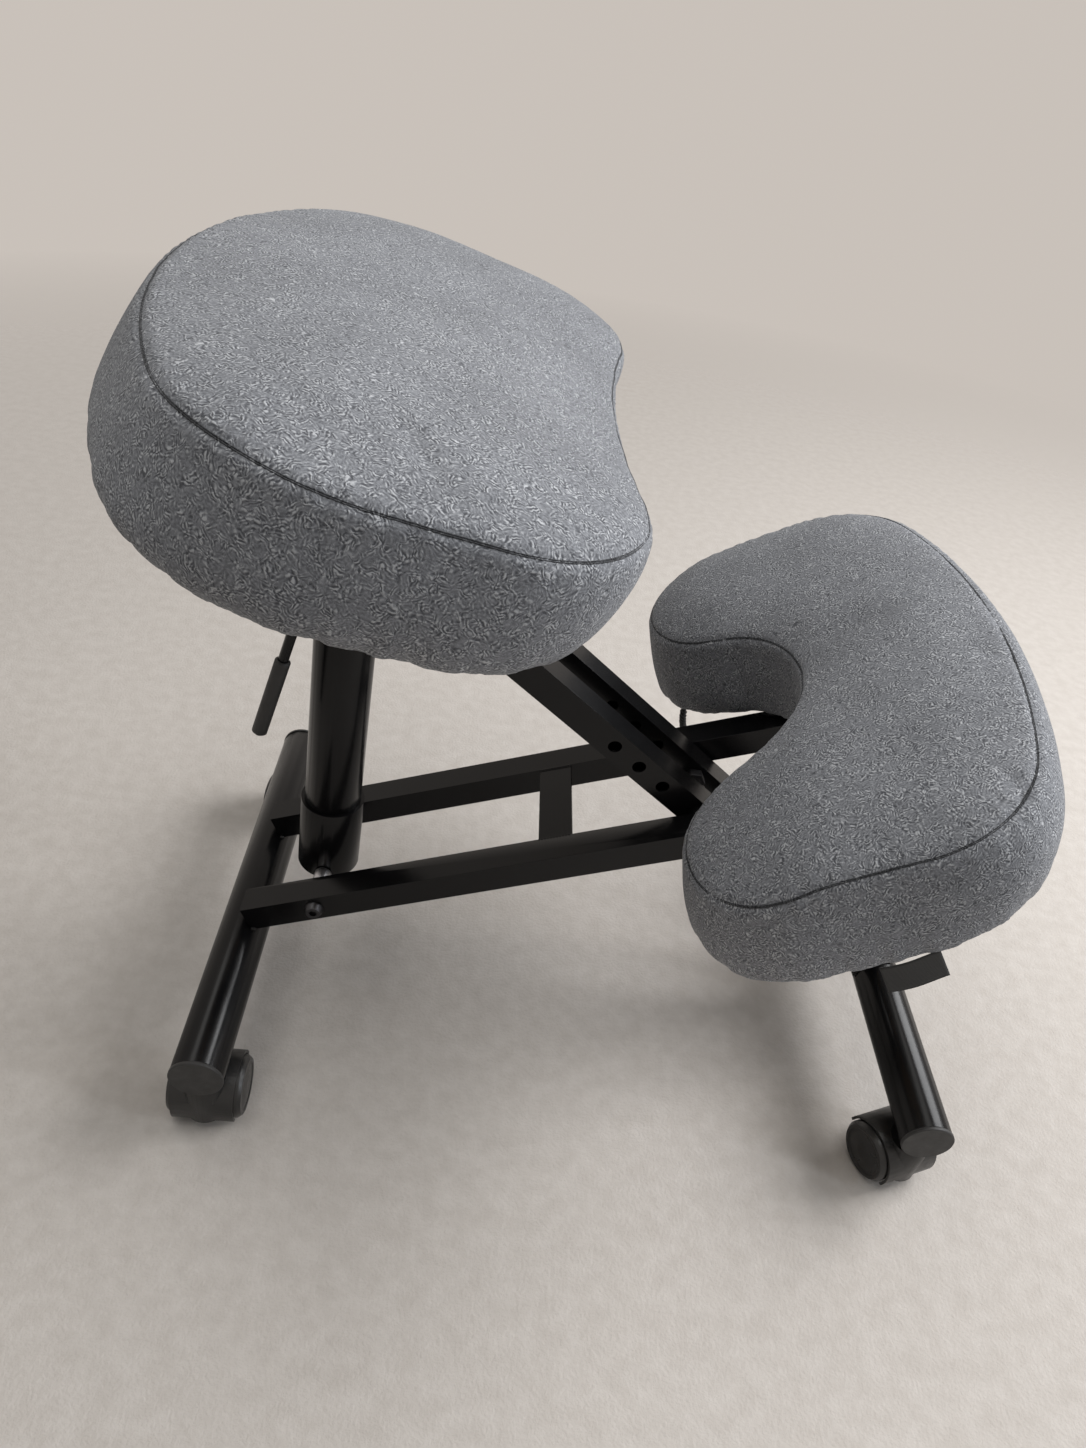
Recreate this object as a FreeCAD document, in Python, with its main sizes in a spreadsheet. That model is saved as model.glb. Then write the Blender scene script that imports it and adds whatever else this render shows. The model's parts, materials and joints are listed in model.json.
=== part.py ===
import FreeCAD, Part
import math
import os

import Sketcher

# Kneeling chair: a scissor frame on four twin-wheel casters, raised by a gas column.
# Frame: +X forward, +Y to the sitter's left, +Z up, millimetres and degrees.
# The origin is on the floor, midway between the two crossbars.

V = FreeCAD.Vector
Rotation = FreeCAD.Rotation
Placement = FreeCAD.Placement
Y_AXIS = V(0, 1, 0)
Z_AXIS = V(0, 0, 1)
LEFT, RIGHT = 1, -1
SIDES = (("left", LEFT), ("right", RIGHT))
ENDS = (("rear", -1), ("front", 1))

DIMENSIONS = {
    # Crossbars and their caps
    "wheel_base": 590,
    "crossbar_height": 78,
    "crossbar_length": 408,
    "tube_diameter": 42,
    "tube_wall": 2,
    "cap_thickness": 3,
    "cap_lip": 0.4,
    "cap_plug": 5,
    "socket_length": 24,
    "socket_wall": 2.5,
    # Lower rails
    "rail_width": 25,
    "rail_depth": 25,
    "rail_wall": 2,
    "rail_offset": 57,
    "rail_lift": 26,
    "rail_rise": 21.8,
    "rail_start": 6,
    "rail_tip": 135,
    "bend_reach": 452,
    "bend_radius": 150,
    "brace_reach": 265,
    "brace_width": 29,
    "brace_thickness": 4,
    "brace_inset": 1,
    # Diagonal bars and the scissor bolts
    "bar_width": 25,
    "bar_depth": 25,
    "bar_wall": 2,
    "bar_gap": 28.2,
    "bar_fall": 38,
    "pivot_reach": 377,
    "first_hole": 48,
    "hole_pitch": 28.8,
    "hole_count": 3,
    "hole_diameter": 11,
    "bolt_diameter": 10,
    "bolt_clearance": 0.2,
    "bolt_head_diameter": 17,
    "bolt_head_height": 5.5,
    "nut_flats": 17,
    "nut_height": 8,
    "side_clearance": 0.3,
    # Gas column
    "column_reach": 65,
    "column_lean": 2.9,
    "column_diameter": 48,
    "column_wall": 1.5,
    "column_length": 291,
    "column_floor": 3,
    "cup_wall": 3,
    "cup_height": 60,
    "cup_base": 22,
    "cup_chamfer": 7,
    "spacer_diameter": 15,
    "cylinder_diameter": 28,
    "cylinder_wall": 1.5,
    "cylinder_length": 288,
    "cylinder_cap": 8,
    "bush_length": 80,
    "rod_diameter": 10,
    "rod_length": 268,
    "piston_height": 10,
    "slide_clearance": 0.05,
    # Column head and release lever
    "head_depth": 44,
    "head_width": 60,
    "head_above": 16,
    "head_below": 18,
    "head_recess": 12,
    "trunnion_drop": 52,
    "trunnion_slack": 1.7,
    "pin_diameter": 8,
    "pin_top": 22,
    "shaft_back": 10.5,
    "shaft_rise": 24,
    "shaft_diameter": 8,
    "ear_thickness": 6,
    "ear_radius": 8,
    "lever_length": 200,
    "lever_angle": 16,
    "grip_diameter": 12,
    "grip_length": 72,
    # Seat
    "seat_reach": 105.6,
    "seat_height": 603,
    "seat_tilt": 13,
    "seat_width": 492,
    "seat_rear": 137,
    "seat_front": 150,
    "seat_rear_radius": 400,
    "seat_corner_radius": 126,
    "seat_lobe_radius": 92,
    "seat_lobe_spread": 148,
    "seat_dent": 14,
    "seat_side": 88,
    "seat_crown": 17,
    "seat_low": 52,
    "seat_bulge": 9,
    "seat_tuck": 20,
    "seat_lean": 20,
    "board_thickness": 12,
    "board_clearance": 0.3,
    "board_inset": 38,
    "plate_thickness": 4,
    "plate_length": 160,
    "plate_width": 170,
    "plate_ahead": 12,
    "cheek_thickness": 4,
    "cheek_rear": 34,
    "cheek_front": 90,
    "cheek_depth": 70,
    "cheek_margin": 6,
    "bar_headroom": 1,
    "bar_end": 34,
    # Knee rest
    "knee_tilt": 30.5,
    "knee_along": 39,
    "knee_width": 442,
    "knee_front": 138,
    "knee_rear": 121,
    "knee_front_radius": 565,
    "knee_corner_radius": 90,
    "knee_notch": 8,
    "knee_notch_radius": 80,
    "knee_flare": 25,
    "knee_side": 84,
    "knee_crown": 14,
    "knee_low": 64,
    "knee_bulge": 11,
    "knee_tuck": 1,
    "knee_lean": 9,
    "knee_notch_swell": 0.3,
    "knee_board_inset": 22,
    "knee_plate_thickness": 3,
    "knee_plate_length": 84,
    "knee_plate_width": 62,
    "knee_plate_ahead": 58,
    # Screws under the boards
    "screw_diameter": 6,
    "screw_length": 16,
    "screw_head_diameter": 13,
    "screw_head_height": 3.5,
    # Casters
    "stem_inset": 16,
    "stem_diameter": 11,
    "stem_depth": 30,
    "stem_collar": 3,
    "collar_diameter": 19,
    "trail": 12,
    "wheel_diameter": 50,
    "wheel_width": 13,
    "wheel_chamfer": 2.5,
    "wheel_rim": 5,
    "wheel_dish": 1.5,
    "hub_width": 34,
    "core_diameter": 43,
    "housing_diameter": 34,
    "housing_base": 8,
    "housing_chamfer": 5,
    "wheel_gap": 0.6,
    "axle_diameter": 6,
    "axle_clearance": 0.1,
    "fender_gap": 1.2,
    "fender_wall": 2.2,
    "fender_width": 50,
    "fender_start": 12,
    "fender_stop": 205,
    # Drawstring
    "string_diameter": 5.5,
    "string_length": 34,
    "string_swing": 6,
    "string_along": -118,
    "string_across": 106,
}

# Direction in which each caster trails behind its stem, seen from above
CASTER_YAW = {
    ("rear", "right"): 90,
    ("front", "right"): 111,
    ("rear", "left"): -100,
    ("front", "left"): -60,
}

doc = FreeCAD.newDocument("KneelingChair")
sheet = doc.addObject("Spreadsheet::Sheet", "Sizes")


def fill_sheet():
    """Write every driving dimension into its own row, with the name as the alias."""
    for row, (name, value) in enumerate(DIMENSIONS.items(), start=1):
        sheet.set(f"A{row}", name)
        sheet.set(f"B{row}", str(value))
        sheet.setAlias(f"B{row}", name)
    doc.recompute()


fill_sheet()


class Size:
    """A number together with the sheet expression that gives it."""

    def __init__(self, value, text):
        self.value = float(value)
        self.text = text

    def __add__(self, other):
        other = as_size(other)
        return Size(self.value + other.value, f"({self.text} + {other.text})")

    def __sub__(self, other):
        other = as_size(other)
        return Size(self.value - other.value, f"({self.text} - {other.text})")

    def __mul__(self, other):
        other = as_size(other)
        return Size(self.value * other.value, f"({self.text} * {other.text})")

    def __truediv__(self, other):
        other = as_size(other)
        return Size(self.value / other.value, f"({self.text} / {other.text})")

    def __neg__(self):
        return Size(-self.value, f"(-1 * {self.text})")

    def __rsub__(self, other):
        return as_size(other) - self

    __radd__ = __add__
    __rmul__ = __mul__


def as_size(item):
    return item if isinstance(item, Size) else Size(item, repr(float(item)))


def cell(name):
    """The named dimension as a Size bound to its cell."""
    return Size(sheet.get(name), f"Sizes.{name}")


def number(name):
    """The named dimension as a plain number."""
    return float(sheet.get(name))


def bind(feature, **sizes):
    """Set properties from sizes and keep them bound to the sheet."""
    for prop, size in sizes.items():
        size = as_size(size)
        setattr(feature, prop, size.value)
        feature.setExpression(prop, size.text)


SUBPARTS = []


def keep(feature, name, placement=None):
    """Name a finished sub-part and put it in its place."""
    feature.Label = name
    if placement is not None:
        feature.Placement = placement
    SUBPARTS.append(feature)
    return feature


# Sketches and solid features


def new_body(name):
    return doc.addObject("PartDesign::Body", f"body_{name}")


def new_sketch(body, role, height=0.0):
    """A sketch on one of the body's own origin planes, raised along its normal."""
    sketch = body.newObject("Sketcher::SketchObject", "sketch")
    plane = next(item for item in body.Origin.OriginFeatures if item.Role == role)
    sketch.AttachmentSupport = [(plane, "")]
    sketch.MapMode = "FlatFace"
    sketch.AttachmentOffset = Placement(V(0, 0, height), Rotation())
    return sketch


def add_circle(sketch, diameter, x=0, y=0):
    x, y, diameter = as_size(x), as_size(y), as_size(diameter)
    circle = Part.Circle(V(x.value, y.value, 0), Z_AXIS, diameter.value / 2)
    index = sketch.addGeometry(circle, False)
    rules = (
        (Sketcher.Constraint("Diameter", index, diameter.value), diameter),
        (Sketcher.Constraint("DistanceX", -1, 1, index, 3, x.value), x),
        (Sketcher.Constraint("DistanceY", -1, 1, index, 3, y.value), y),
    )
    for rule, size in rules:
        number_of_rule = sketch.addConstraint(rule)
        sketch.setExpression(f"Constraints[{number_of_rule}]", size.text)


def add_polygon(sketch, corners):
    """A closed outline of straight lines whose corners are bound to the sheet."""
    corners = [(as_size(x), as_size(y)) for x, y in corners]
    points = [V(x.value, y.value, 0) for x, y in corners]
    first = None
    count = len(points)
    for i in range(count):
        line = Part.LineSegment(points[i], points[(i + 1) % count])
        index = sketch.addGeometry(line, False)
        first = index if first is None else first
    for i, (x, y) in enumerate(corners):
        following = first + (i + 1) % count
        sketch.addConstraint(Sketcher.Constraint("Coincident", first + i, 2, following, 1))
        for kind, size in (("DistanceX", x), ("DistanceY", y)):
            rule = Sketcher.Constraint(kind, -1, 1, first + i, 1, size.value)
            number_of_rule = sketch.addConstraint(rule)
            sketch.setExpression(f"Constraints[{number_of_rule}]", size.text)


def add_rectangle(sketch, x0, x1, y0, y1):
    add_polygon(sketch, [(x0, y0), (x1, y0), (x1, y1), (x0, y1)])


def add_edges(sketch, edges):
    """Lines and arcs worked out from the sheet, joined end to end in a closed ring."""
    first = sketch.GeometryCount
    for edge in edges:
        sketch.addGeometry(edge, False)
    return first


def feature_on(body, kind, sketch, **options):
    feature = body.newObject(f"PartDesign::{kind}", kind.lower())
    feature.Profile = sketch
    for option, value in options.items():
        setattr(feature, option, value)
    sketch.Visibility = False
    return feature


def pad_both_ways(body, sketch, length):
    pad = feature_on(body, "Pad", sketch, Midplane=True)
    bind(pad, Length=length)
    return pad


def pad_up(body, sketch, length):
    pad = feature_on(body, "Pad", sketch)
    bind(pad, Length=length)
    return pad


def cut_both_ways(body, sketch, length):
    cut = feature_on(body, "Pocket", sketch, Midplane=True)
    bind(cut, Length=length)
    return cut


def turned(name, outline):
    """A body of revolution about its own Z axis, from an outline of (radius, height)."""
    body = new_body(name)
    sketch = new_sketch(body, "XZ_Plane")
    add_polygon(sketch, outline)
    feature_on(body, "Revolution", sketch, ReferenceAxis=(sketch, ["V_Axis"]), Angle=360)
    return body


def cylinder(diameter, height, base=0):
    """A cylinder about Z from base upwards."""
    solid = doc.addObject("Part::Cylinder", "cylinder")
    bind(solid, Radius=as_size(diameter) / 2, Height=height)
    solid.Placement = Placement(V(0, 0, as_size(base).value), Rotation())
    return solid


def hexagon(flats, height, base=0):
    """A hexagonal prism about Z, given across its flats."""
    solid = doc.addObject("Part::Prism", "hexagon")
    solid.Polygon = 6
    bind(solid, Circumradius=as_size(flats) / math.sqrt(3), Height=height)
    solid.Placement = Placement(V(0, 0, as_size(base).value), Rotation())
    return solid


def fuse(*solids):
    joined = doc.addObject("Part::MultiFuse", "fuse")
    joined.Shapes = list(solids)
    return joined


def cut(base, tool):
    result = doc.addObject("Part::Cut", "cut")
    result.Base = base
    result.Tool = tool
    return result


def group(solids):
    """Identical loose pieces in one node."""
    pieces = doc.addObject("Part::Compound", "pieces")
    pieces.Links = list(solids)
    return pieces


def moved(solid, placement):
    solid.Placement = placement.multiply(solid.Placement)
    return solid


def ring(outer, inner, height, base=0):
    """A plain sleeve or washer about Z."""
    bore = cylinder(inner, as_size(height) + 2, as_size(base) - 1)
    return cut(cylinder(outer, height, base), bore)


# Rotations that lay the Z axis of a turned piece along Y, outwards on each side
OUTWARD = {LEFT: Rotation(V(1, 0, 0), -90), RIGHT: Rotation(V(1, 0, 0), 90)}


# Reference points of the frame, all in the side view


def tilt(angle):
    """A rotation about Y that lowers the front end for a positive angle."""
    return Rotation(Y_AXIS, angle)


REAR_X = -number("wheel_base") / 2
FRONT_X = number("wheel_base") / 2
TUBE_RADIUS = number("tube_diameter") / 2
RISE = math.radians(number("rail_rise"))
FALL = math.radians(number("bar_fall"))
KNEE = math.radians(number("knee_tilt"))
RAIL_INNER = number("rail_offset") - number("rail_width") / 2
RAIL_OUTER = number("rail_offset") + number("rail_width") / 2
BAR_OFFSET = (number("bar_gap") + number("bar_width")) / 2
BAR_OUTER = number("bar_gap") / 2 + number("bar_width")


def rail_point(reach):
    """Point on the straight stretch of the rail's centre line, by distance forward."""
    height = number("crossbar_height") + number("rail_lift") + reach * math.tan(RISE)
    return V(REAR_X + reach, 0, height)


PIVOT = rail_point(number("pivot_reach"))
COLUMN_FOOT = rail_point(number("column_reach"))
BEND = rail_point(number("bend_reach"))


def column_point(along):
    """Point on the gas column's axis, by distance above its lower bolt."""
    lean = math.radians(number("column_lean"))
    return COLUMN_FOOT + V(math.sin(lean), 0, math.cos(lean)) * along


COLUMN_TILT = tilt(number("column_lean"))

# Seat frame: X forward along the cushion, Z square to it, at the middle of the top seam
SEAT = Placement(
    V(REAR_X + number("seat_reach"), 0, number("seat_height")),
    tilt(number("seat_tilt")),
)
PLATE_UNDER = -(number("seat_side") + number("plate_thickness"))


def on_column_under_plate(drop):
    """Distance up the column at which it lies the given drop below the seat plate."""
    plate = SEAT.multVec(V(0, 0, PLATE_UNDER - drop))
    normal = SEAT.Rotation.multVec(Z_AXIS)
    axis = column_point(1) - COLUMN_FOOT
    return (plate - COLUMN_FOOT).dot(normal) / axis.dot(normal)


HEAD_ALONG = on_column_under_plate(number("trunnion_drop"))
TRUNNION = column_point(HEAD_ALONG)
HEAD = Placement(TRUNNION, COLUMN_TILT)
TRUNNION_IN_SEAT = SEAT.inverse().multVec(TRUNNION)

# Knee frame: X forward and up along the cushion, at the middle of its top seam
KNEE_STACK = number("rail_depth") / 2 + number("knee_plate_thickness") + number("knee_side")
KNEE_FOOT = BEND + V(math.cos(KNEE), 0, math.sin(KNEE)) * number("knee_along")
KNEE_FRAME = Placement(
    KNEE_FOOT + V(-math.sin(KNEE), 0, math.cos(KNEE)) * KNEE_STACK,
    tilt(-number("knee_tilt")),
)
KNEE_HEM = -number("knee_side")


# Crossbars, caps


def make_crossbar(end, sign):
    """Round tube across the chair with a welded socket for each caster stem."""
    body = new_body(f"{end}_crossbar")
    length = cell("crossbar_length")
    stem_y = length / 2 - cell("stem_inset")
    bore = cell("tube_diameter") - cell("tube_wall") * 2
    section = new_sketch(body, "XZ_Plane")
    add_circle(section, cell("tube_diameter"))
    add_circle(section, bore)
    pad_both_ways(body, section, length)
    base = number("tube_wall") - TUBE_RADIUS
    sockets = new_sketch(body, "XY_Plane", base)
    holes = new_sketch(body, "XY_Plane", base)
    socket_bore = cell("stem_diameter") + cell("bolt_clearance")
    for side in (1, -1):
        add_circle(sockets, socket_bore + cell("socket_wall") * 2, 0, stem_y * side)
        add_circle(holes, socket_bore, 0, stem_y * side)
    pad_up(body, sockets, cell("socket_length"))
    cut_both_ways(body, holes, (cell("socket_length") + 2) * 2)
    place = Placement(V(sign * FRONT_X, 0, number("crossbar_height")), Rotation())
    keep(body, f"{end}_crossbar", place)


def make_cap(end, sign, side_name, side):
    """Flat end cap with a narrow lip and a plug inside the tube."""
    lip = cell("tube_diameter") / 2 + cell("cap_lip")
    plug = cell("tube_diameter") / 2 - cell("tube_wall") - cell("slide_clearance")
    edge = cell("cap_thickness") / 4
    outline = [
        (0, cell("cap_thickness")),
        (lip - edge, cell("cap_thickness")),
        (lip, cell("cap_thickness") - edge),
        (lip, 0),
        (plug, 0),
        (plug, -cell("cap_plug")),
        (plug - 2, -cell("cap_plug")),
        (plug - 2, -1),
        (0, -1),
    ]
    cap = turned("cap", outline)
    y = side * number("crossbar_length") / 2
    place = Placement(V(sign * FRONT_X, y, number("crossbar_height")), OUTWARD[side])
    keep(cap, f"{end}_cap_{side_name}", place)


# Lower rails and brace


def rail_edges(half, overrun):
    """Side outline of a rail: straight, one gentle bend, then straight to the tip."""
    turn = KNEE - RISE
    radius = number("bend_radius")
    tangent = radius * math.tan(turn / 2)
    run = V(math.cos(RISE), math.sin(RISE), 0)
    up = V(-math.sin(RISE), math.cos(RISE), 0)
    run_after = V(math.cos(KNEE), math.sin(KNEE), 0)
    up_after = V(-math.sin(KNEE), math.cos(KNEE), 0)
    corner = V(number("bend_reach"), BEND.z - number("crossbar_height"), 0)
    centre = corner - run * tangent + up * radius
    start_along = (number("bend_reach") - number("rail_start")) / math.cos(RISE) + overrun
    start = corner - run * start_along
    tip = corner + run_after * (number("rail_tip") + overrun)

    def stretch(offset):
        before = centre - up * (radius - offset)
        after = centre - up_after * (radius - offset)
        middle_up = (up + up_after).normalize()
        middle = centre - middle_up * (radius - offset)
        return start + up * offset, before, middle, after, tip + up_after * offset

    low = stretch(-half)
    high = stretch(half)
    return [
        Part.LineSegment(low[0], low[1]),
        Part.Arc(low[1], low[2], low[3]),
        Part.LineSegment(low[3], low[4]),
        Part.LineSegment(low[4], high[4]),
        Part.LineSegment(high[4], high[3]),
        Part.Arc(high[3], high[2], high[1]),
        Part.LineSegment(high[1], high[0]),
        Part.LineSegment(high[0], low[0]),
    ]


def make_rail(side_name, side):
    """Square rail from the rear crossbar past the pivot and up under the knee rest."""
    body = new_body(f"rail_{side_name}")
    outer = new_sketch(body, "XZ_Plane")
    add_edges(outer, rail_edges(number("rail_depth") / 2, 0))
    pad_both_ways(body, outer, cell("rail_width"))
    inner = new_sketch(body, "XZ_Plane")
    wall = number("rail_wall")
    add_edges(inner, rail_edges(number("rail_depth") / 2 - wall, 1))
    cut_both_ways(body, inner, cell("rail_width") - cell("rail_wall") * 2)
    bores = new_sketch(body, "XZ_Plane")
    foot = column_point(0) - V(REAR_X, 0, number("crossbar_height"))
    hinge = PIVOT - V(REAR_X, 0, number("crossbar_height"))
    for spot in (foot, hinge):
        add_circle(bores, cell("bolt_diameter") + cell("slide_clearance") * 2, spot.x, spot.z)
    cut_both_ways(body, bores, cell("rail_width") * 2)
    cope = cylinder(cell("tube_diameter"), cell("rail_width") * 2)
    cope.Placement = Placement(V(0, number("rail_width"), 0), Rotation(V(1, 0, 0), 90))
    rail = cut(body, cope)
    y = side * number("rail_offset")
    place = Placement(V(REAR_X, y, number("crossbar_height")), Rotation())
    keep(rail, f"lower_rail_{side_name}", place)


def make_brace():
    """Flat bar welded between the rails, just below their top faces."""
    brace = doc.addObject("Part::Box", "brace")
    span = (cell("rail_offset") - cell("rail_width") / 2) * 2
    bind(brace, Length=cell("brace_width"), Width=span, Height=cell("brace_thickness"))
    middle = rail_point(number("brace_reach"))
    drop = number("rail_depth") / 2 - number("brace_inset") - number("brace_thickness")
    corner = V(-number("brace_width") / 2, -RAIL_INNER, drop)
    turn = tilt(-number("rail_rise"))
    keep(brace, "brace_plate", Placement(middle + turn.multVec(corner), turn))


# Diagonal bars


def make_bar(side_name, side):
    """Square bar from under the seat down to the front crossbar, with its bolt holes."""
    up_along = V(-math.cos(FALL), 0, math.sin(FALL))
    seat_x = SEAT.Rotation.multVec(V(1, 0, 0))
    end_plane = TRUNNION_IN_SEAT.x + number("bar_end")
    upper = (SEAT.multVec(V(end_plane, 0, 0)) - PIVOT).dot(seat_x) / up_along.dot(seat_x)
    lower = (FRONT_X - PIVOT.x) / math.cos(FALL)
    body = new_body(f"bar_{side_name}")
    section = new_sketch(body, "YZ_Plane", -upper)
    half_width = cell("bar_width") / 2
    half_depth = cell("bar_depth") / 2
    wall = cell("bar_wall")
    add_rectangle(section, -half_width, half_width, -half_depth, half_depth)
    add_rectangle(section, wall - half_width, half_width - wall, wall - half_depth, half_depth - wall)
    pad_up(body, section, upper + lower)
    holes = new_sketch(body, "XZ_Plane")
    add_circle(holes, cell("bolt_diameter") + cell("bolt_clearance") * 2)
    for step in range(int(number("hole_count"))):
        add_circle(holes, cell("hole_diameter"), -(cell("first_hole") + cell("hole_pitch") * step))
    cut_both_ways(body, holes, cell("bar_width") * 2)
    cope = cylinder(cell("tube_diameter"), cell("bar_width") * 2)
    turn = tilt(number("bar_fall"))
    front = V(FRONT_X, 0, number("crossbar_height")) - PIVOT
    local = turn.inverted().multVec(front)
    side_turn = Rotation(V(1, 0, 0), 90)
    cope.Placement = Placement(V(local.x, number("bar_width"), local.z), side_turn)
    place = Placement(PIVOT + V(0, side * BAR_OFFSET, 0), turn)
    headroom = doc.addObject("Part::Box", "headroom")
    reach = cell("seat_width")
    bind(headroom, Length=reach, Width=cell("bar_width") * 2, Height=reach)
    under_plate = V(-reach.value, -number("bar_width"), PLATE_UNDER - number("bar_headroom"))
    under_plate.x += TRUNNION_IN_SEAT.x + number("bar_end") + number("cheek_front")
    above_bars = Placement(V(0, side * BAR_OFFSET, 0), Rotation()).multiply(SEAT)
    headroom.Placement = place.inverse().multiply(above_bars).multiply(
        Placement(under_plate, Rotation())
    )
    bar = cut(cut(body, cope), headroom)
    keep(bar, f"diagonal_bar_{side_name}", place)


# Bolts, nuts and spacers


def button_bolt(shank, length, head, head_height):
    """Round-headed bolt about Z: head above zero, shank below, with a hex socket."""
    shaft = cylinder(shank, length, -as_size(length))
    cap = doc.addObject("Part::Cone", "head")
    head, head_height = as_size(head), as_size(head_height)
    bind(cap, Radius1=head / 2, Radius2=head * 0.36, Height=head_height)
    socket = hexagon(as_size(shank) * 0.6, head_height, head_height * 0.4)
    return cut(fuse(shaft, cap), socket)


def make_pivot_fasteners():
    """One bolt, spacer and nut on each side of the scissor joint."""
    bolts, nuts, spacers = [], [], []
    gap = cell("side_clearance")
    outer = cell("rail_offset") + cell("rail_width") / 2
    inner = cell("rail_offset") - cell("rail_width") / 2
    bar_inner = cell("bar_gap") / 2
    bar_outer = bar_inner + cell("bar_width")
    nut_height = cell("nut_height")
    length = outer - bar_inner + gap + nut_height
    for _, side in SIDES:
        turn = OUTWARD[side]
        bolt = button_bolt(
            cell("bolt_diameter"), length, cell("bolt_head_diameter"), cell("bolt_head_height")
        )
        bolts.append(moved(bolt, Placement(PIVOT + V(0, side * RAIL_OUTER, 0), turn)))
        nut = cut(
            hexagon(cell("nut_flats"), nut_height),
            cylinder(cell("bolt_diameter"), nut_height + 2, -1),
        )
        nut_y = side * (bar_inner - gap - nut_height).value
        nuts.append(moved(nut, Placement(PIVOT + V(0, nut_y, 0), turn)))
        bore = cell("bolt_diameter") + cell("bolt_clearance") * 2
        spacer = ring(cell("nut_flats"), bore, inner - bar_outer - gap)
        spacer_y = side * (bar_outer + gap).value
        spacers.append(moved(spacer, Placement(PIVOT + V(0, spacer_y, 0), turn)))
    keep(group(bolts), "pivot_bolts")
    keep(group(nuts), "pivot_nuts")
    keep(group(spacers), "pivot_spacers")


def make_base_fasteners():
    """The long bolt through both rails that carries the foot of the gas column."""
    outer = cell("rail_offset") + cell("rail_width") / 2
    inner = cell("rail_offset") - cell("rail_width") / 2
    cup = cell("column_diameter") / 2 + cell("slide_clearance") + cell("cup_wall")
    bolt = button_bolt(
        cell("bolt_diameter"),
        outer * 2 + cell("nut_height"),
        cell("bolt_head_diameter"),
        cell("bolt_head_height"),
    )
    keep(bolt, "base_bolt", Placement(COLUMN_FOOT + V(0, -RAIL_OUTER, 0), OUTWARD[RIGHT]))
    nut = cut(
        hexagon(cell("nut_flats"), cell("nut_height")),
        cylinder(cell("bolt_diameter"), cell("nut_height") + 2, -1),
    )
    keep(nut, "base_nut", Placement(COLUMN_FOOT + V(0, RAIL_OUTER, 0), OUTWARD[LEFT]))
    spacers = []
    gap = cell("side_clearance")
    bore = cell("bolt_diameter") + cell("slide_clearance") * 2
    for _, side in SIDES:
        spacer = ring(cell("spacer_diameter"), bore, inner - cup - gap)
        y = side * (cup + gap).value
        spacers.append(moved(spacer, Placement(COLUMN_FOOT + V(0, y, 0), OUTWARD[side])))
    keep(group(spacers), "base_spacers")


# Gas column


def along_column(distance):
    return Placement(column_point(distance), COLUMN_TILT)


COLUMN_BASE = number("cup_base") - number("bolt_diameter") - number("column_floor")


def make_column_cup():
    """Cup that holds the foot of the column and turns on the base bolt."""
    inner = cell("column_diameter") / 2 + cell("slide_clearance")
    outer = inner + cell("cup_wall")
    bottom = COLUMN_BASE - number("cup_base")
    chamfer = cell("cup_chamfer")
    outline = [
        (0, bottom),
        (outer - chamfer, bottom),
        (outer, bottom + chamfer),
        (outer, COLUMN_BASE + cell("cup_height")),
        (inner, COLUMN_BASE + cell("cup_height")),
        (inner, COLUMN_BASE),
        (0, COLUMN_BASE),
    ]
    body = turned("cup", outline)
    bore = new_sketch(body, "XZ_Plane")
    add_circle(bore, cell("bolt_diameter") + cell("bolt_clearance") * 2)
    cut_both_ways(body, bore, outer * 4)
    keep(body, "column_cup", along_column(0))


def make_column_tube():
    """Outer tube of the gas column with a closed floor."""
    outer = cell("column_diameter") / 2
    inner = outer - cell("column_wall")
    outline = [
        (0, 0),
        (outer, 0),
        (outer, cell("column_length")),
        (inner, cell("column_length")),
        (inner, cell("column_floor")),
        (0, cell("column_floor")),
    ]
    keep(turned("tube", outline), "column_tube", along_column(COLUMN_BASE))


def make_guide_bush():
    """Plastic bush in the mouth of the outer tube."""
    outer = cell("column_diameter") - cell("column_wall") * 2 - cell("slide_clearance") * 2
    inner = cell("cylinder_diameter") + cell("slide_clearance") * 2
    bush = ring(outer, inner, cell("bush_length"))
    top = COLUMN_BASE + number("column_length")
    keep(bush, "guide_bush", along_column(top - number("bush_length")))


CYLINDER_TOP = HEAD_ALONG + number("head_recess")


def make_inner_cylinder():
    """Pressure cylinder that rises out of the column, bored for its piston."""
    outer = cell("cylinder_diameter") / 2
    inner = outer - cell("cylinder_wall")
    length = cell("cylinder_length")
    pin = cell("pin_diameter") / 2 + cell("slide_clearance")
    outline = [
        (pin, 0),
        (outer, 0),
        (outer, -length),
        (inner, -length),
        (inner, -cell("cylinder_cap")),
        (pin, -cell("cylinder_cap")),
    ]
    keep(turned("cylinder", outline), "inner_cylinder", along_column(CYLINDER_TOP))


def make_piston_rod():
    """Rod fixed to the floor of the outer tube, with the piston at its top."""
    piston = cell("cylinder_diameter") / 2 - cell("cylinder_wall") - cell("slide_clearance")
    outline = [
        (0, 0),
        (cell("rod_diameter") / 2, 0),
        (cell("rod_diameter") / 2, cell("rod_length") - cell("piston_height")),
        (piston, cell("rod_length") - cell("piston_height")),
        (piston, cell("rod_length")),
        (0, cell("rod_length")),
    ]
    foot = COLUMN_BASE + number("column_floor")
    keep(turned("rod", outline), "piston_rod", along_column(foot))


# Column head, release pin and lever


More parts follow.
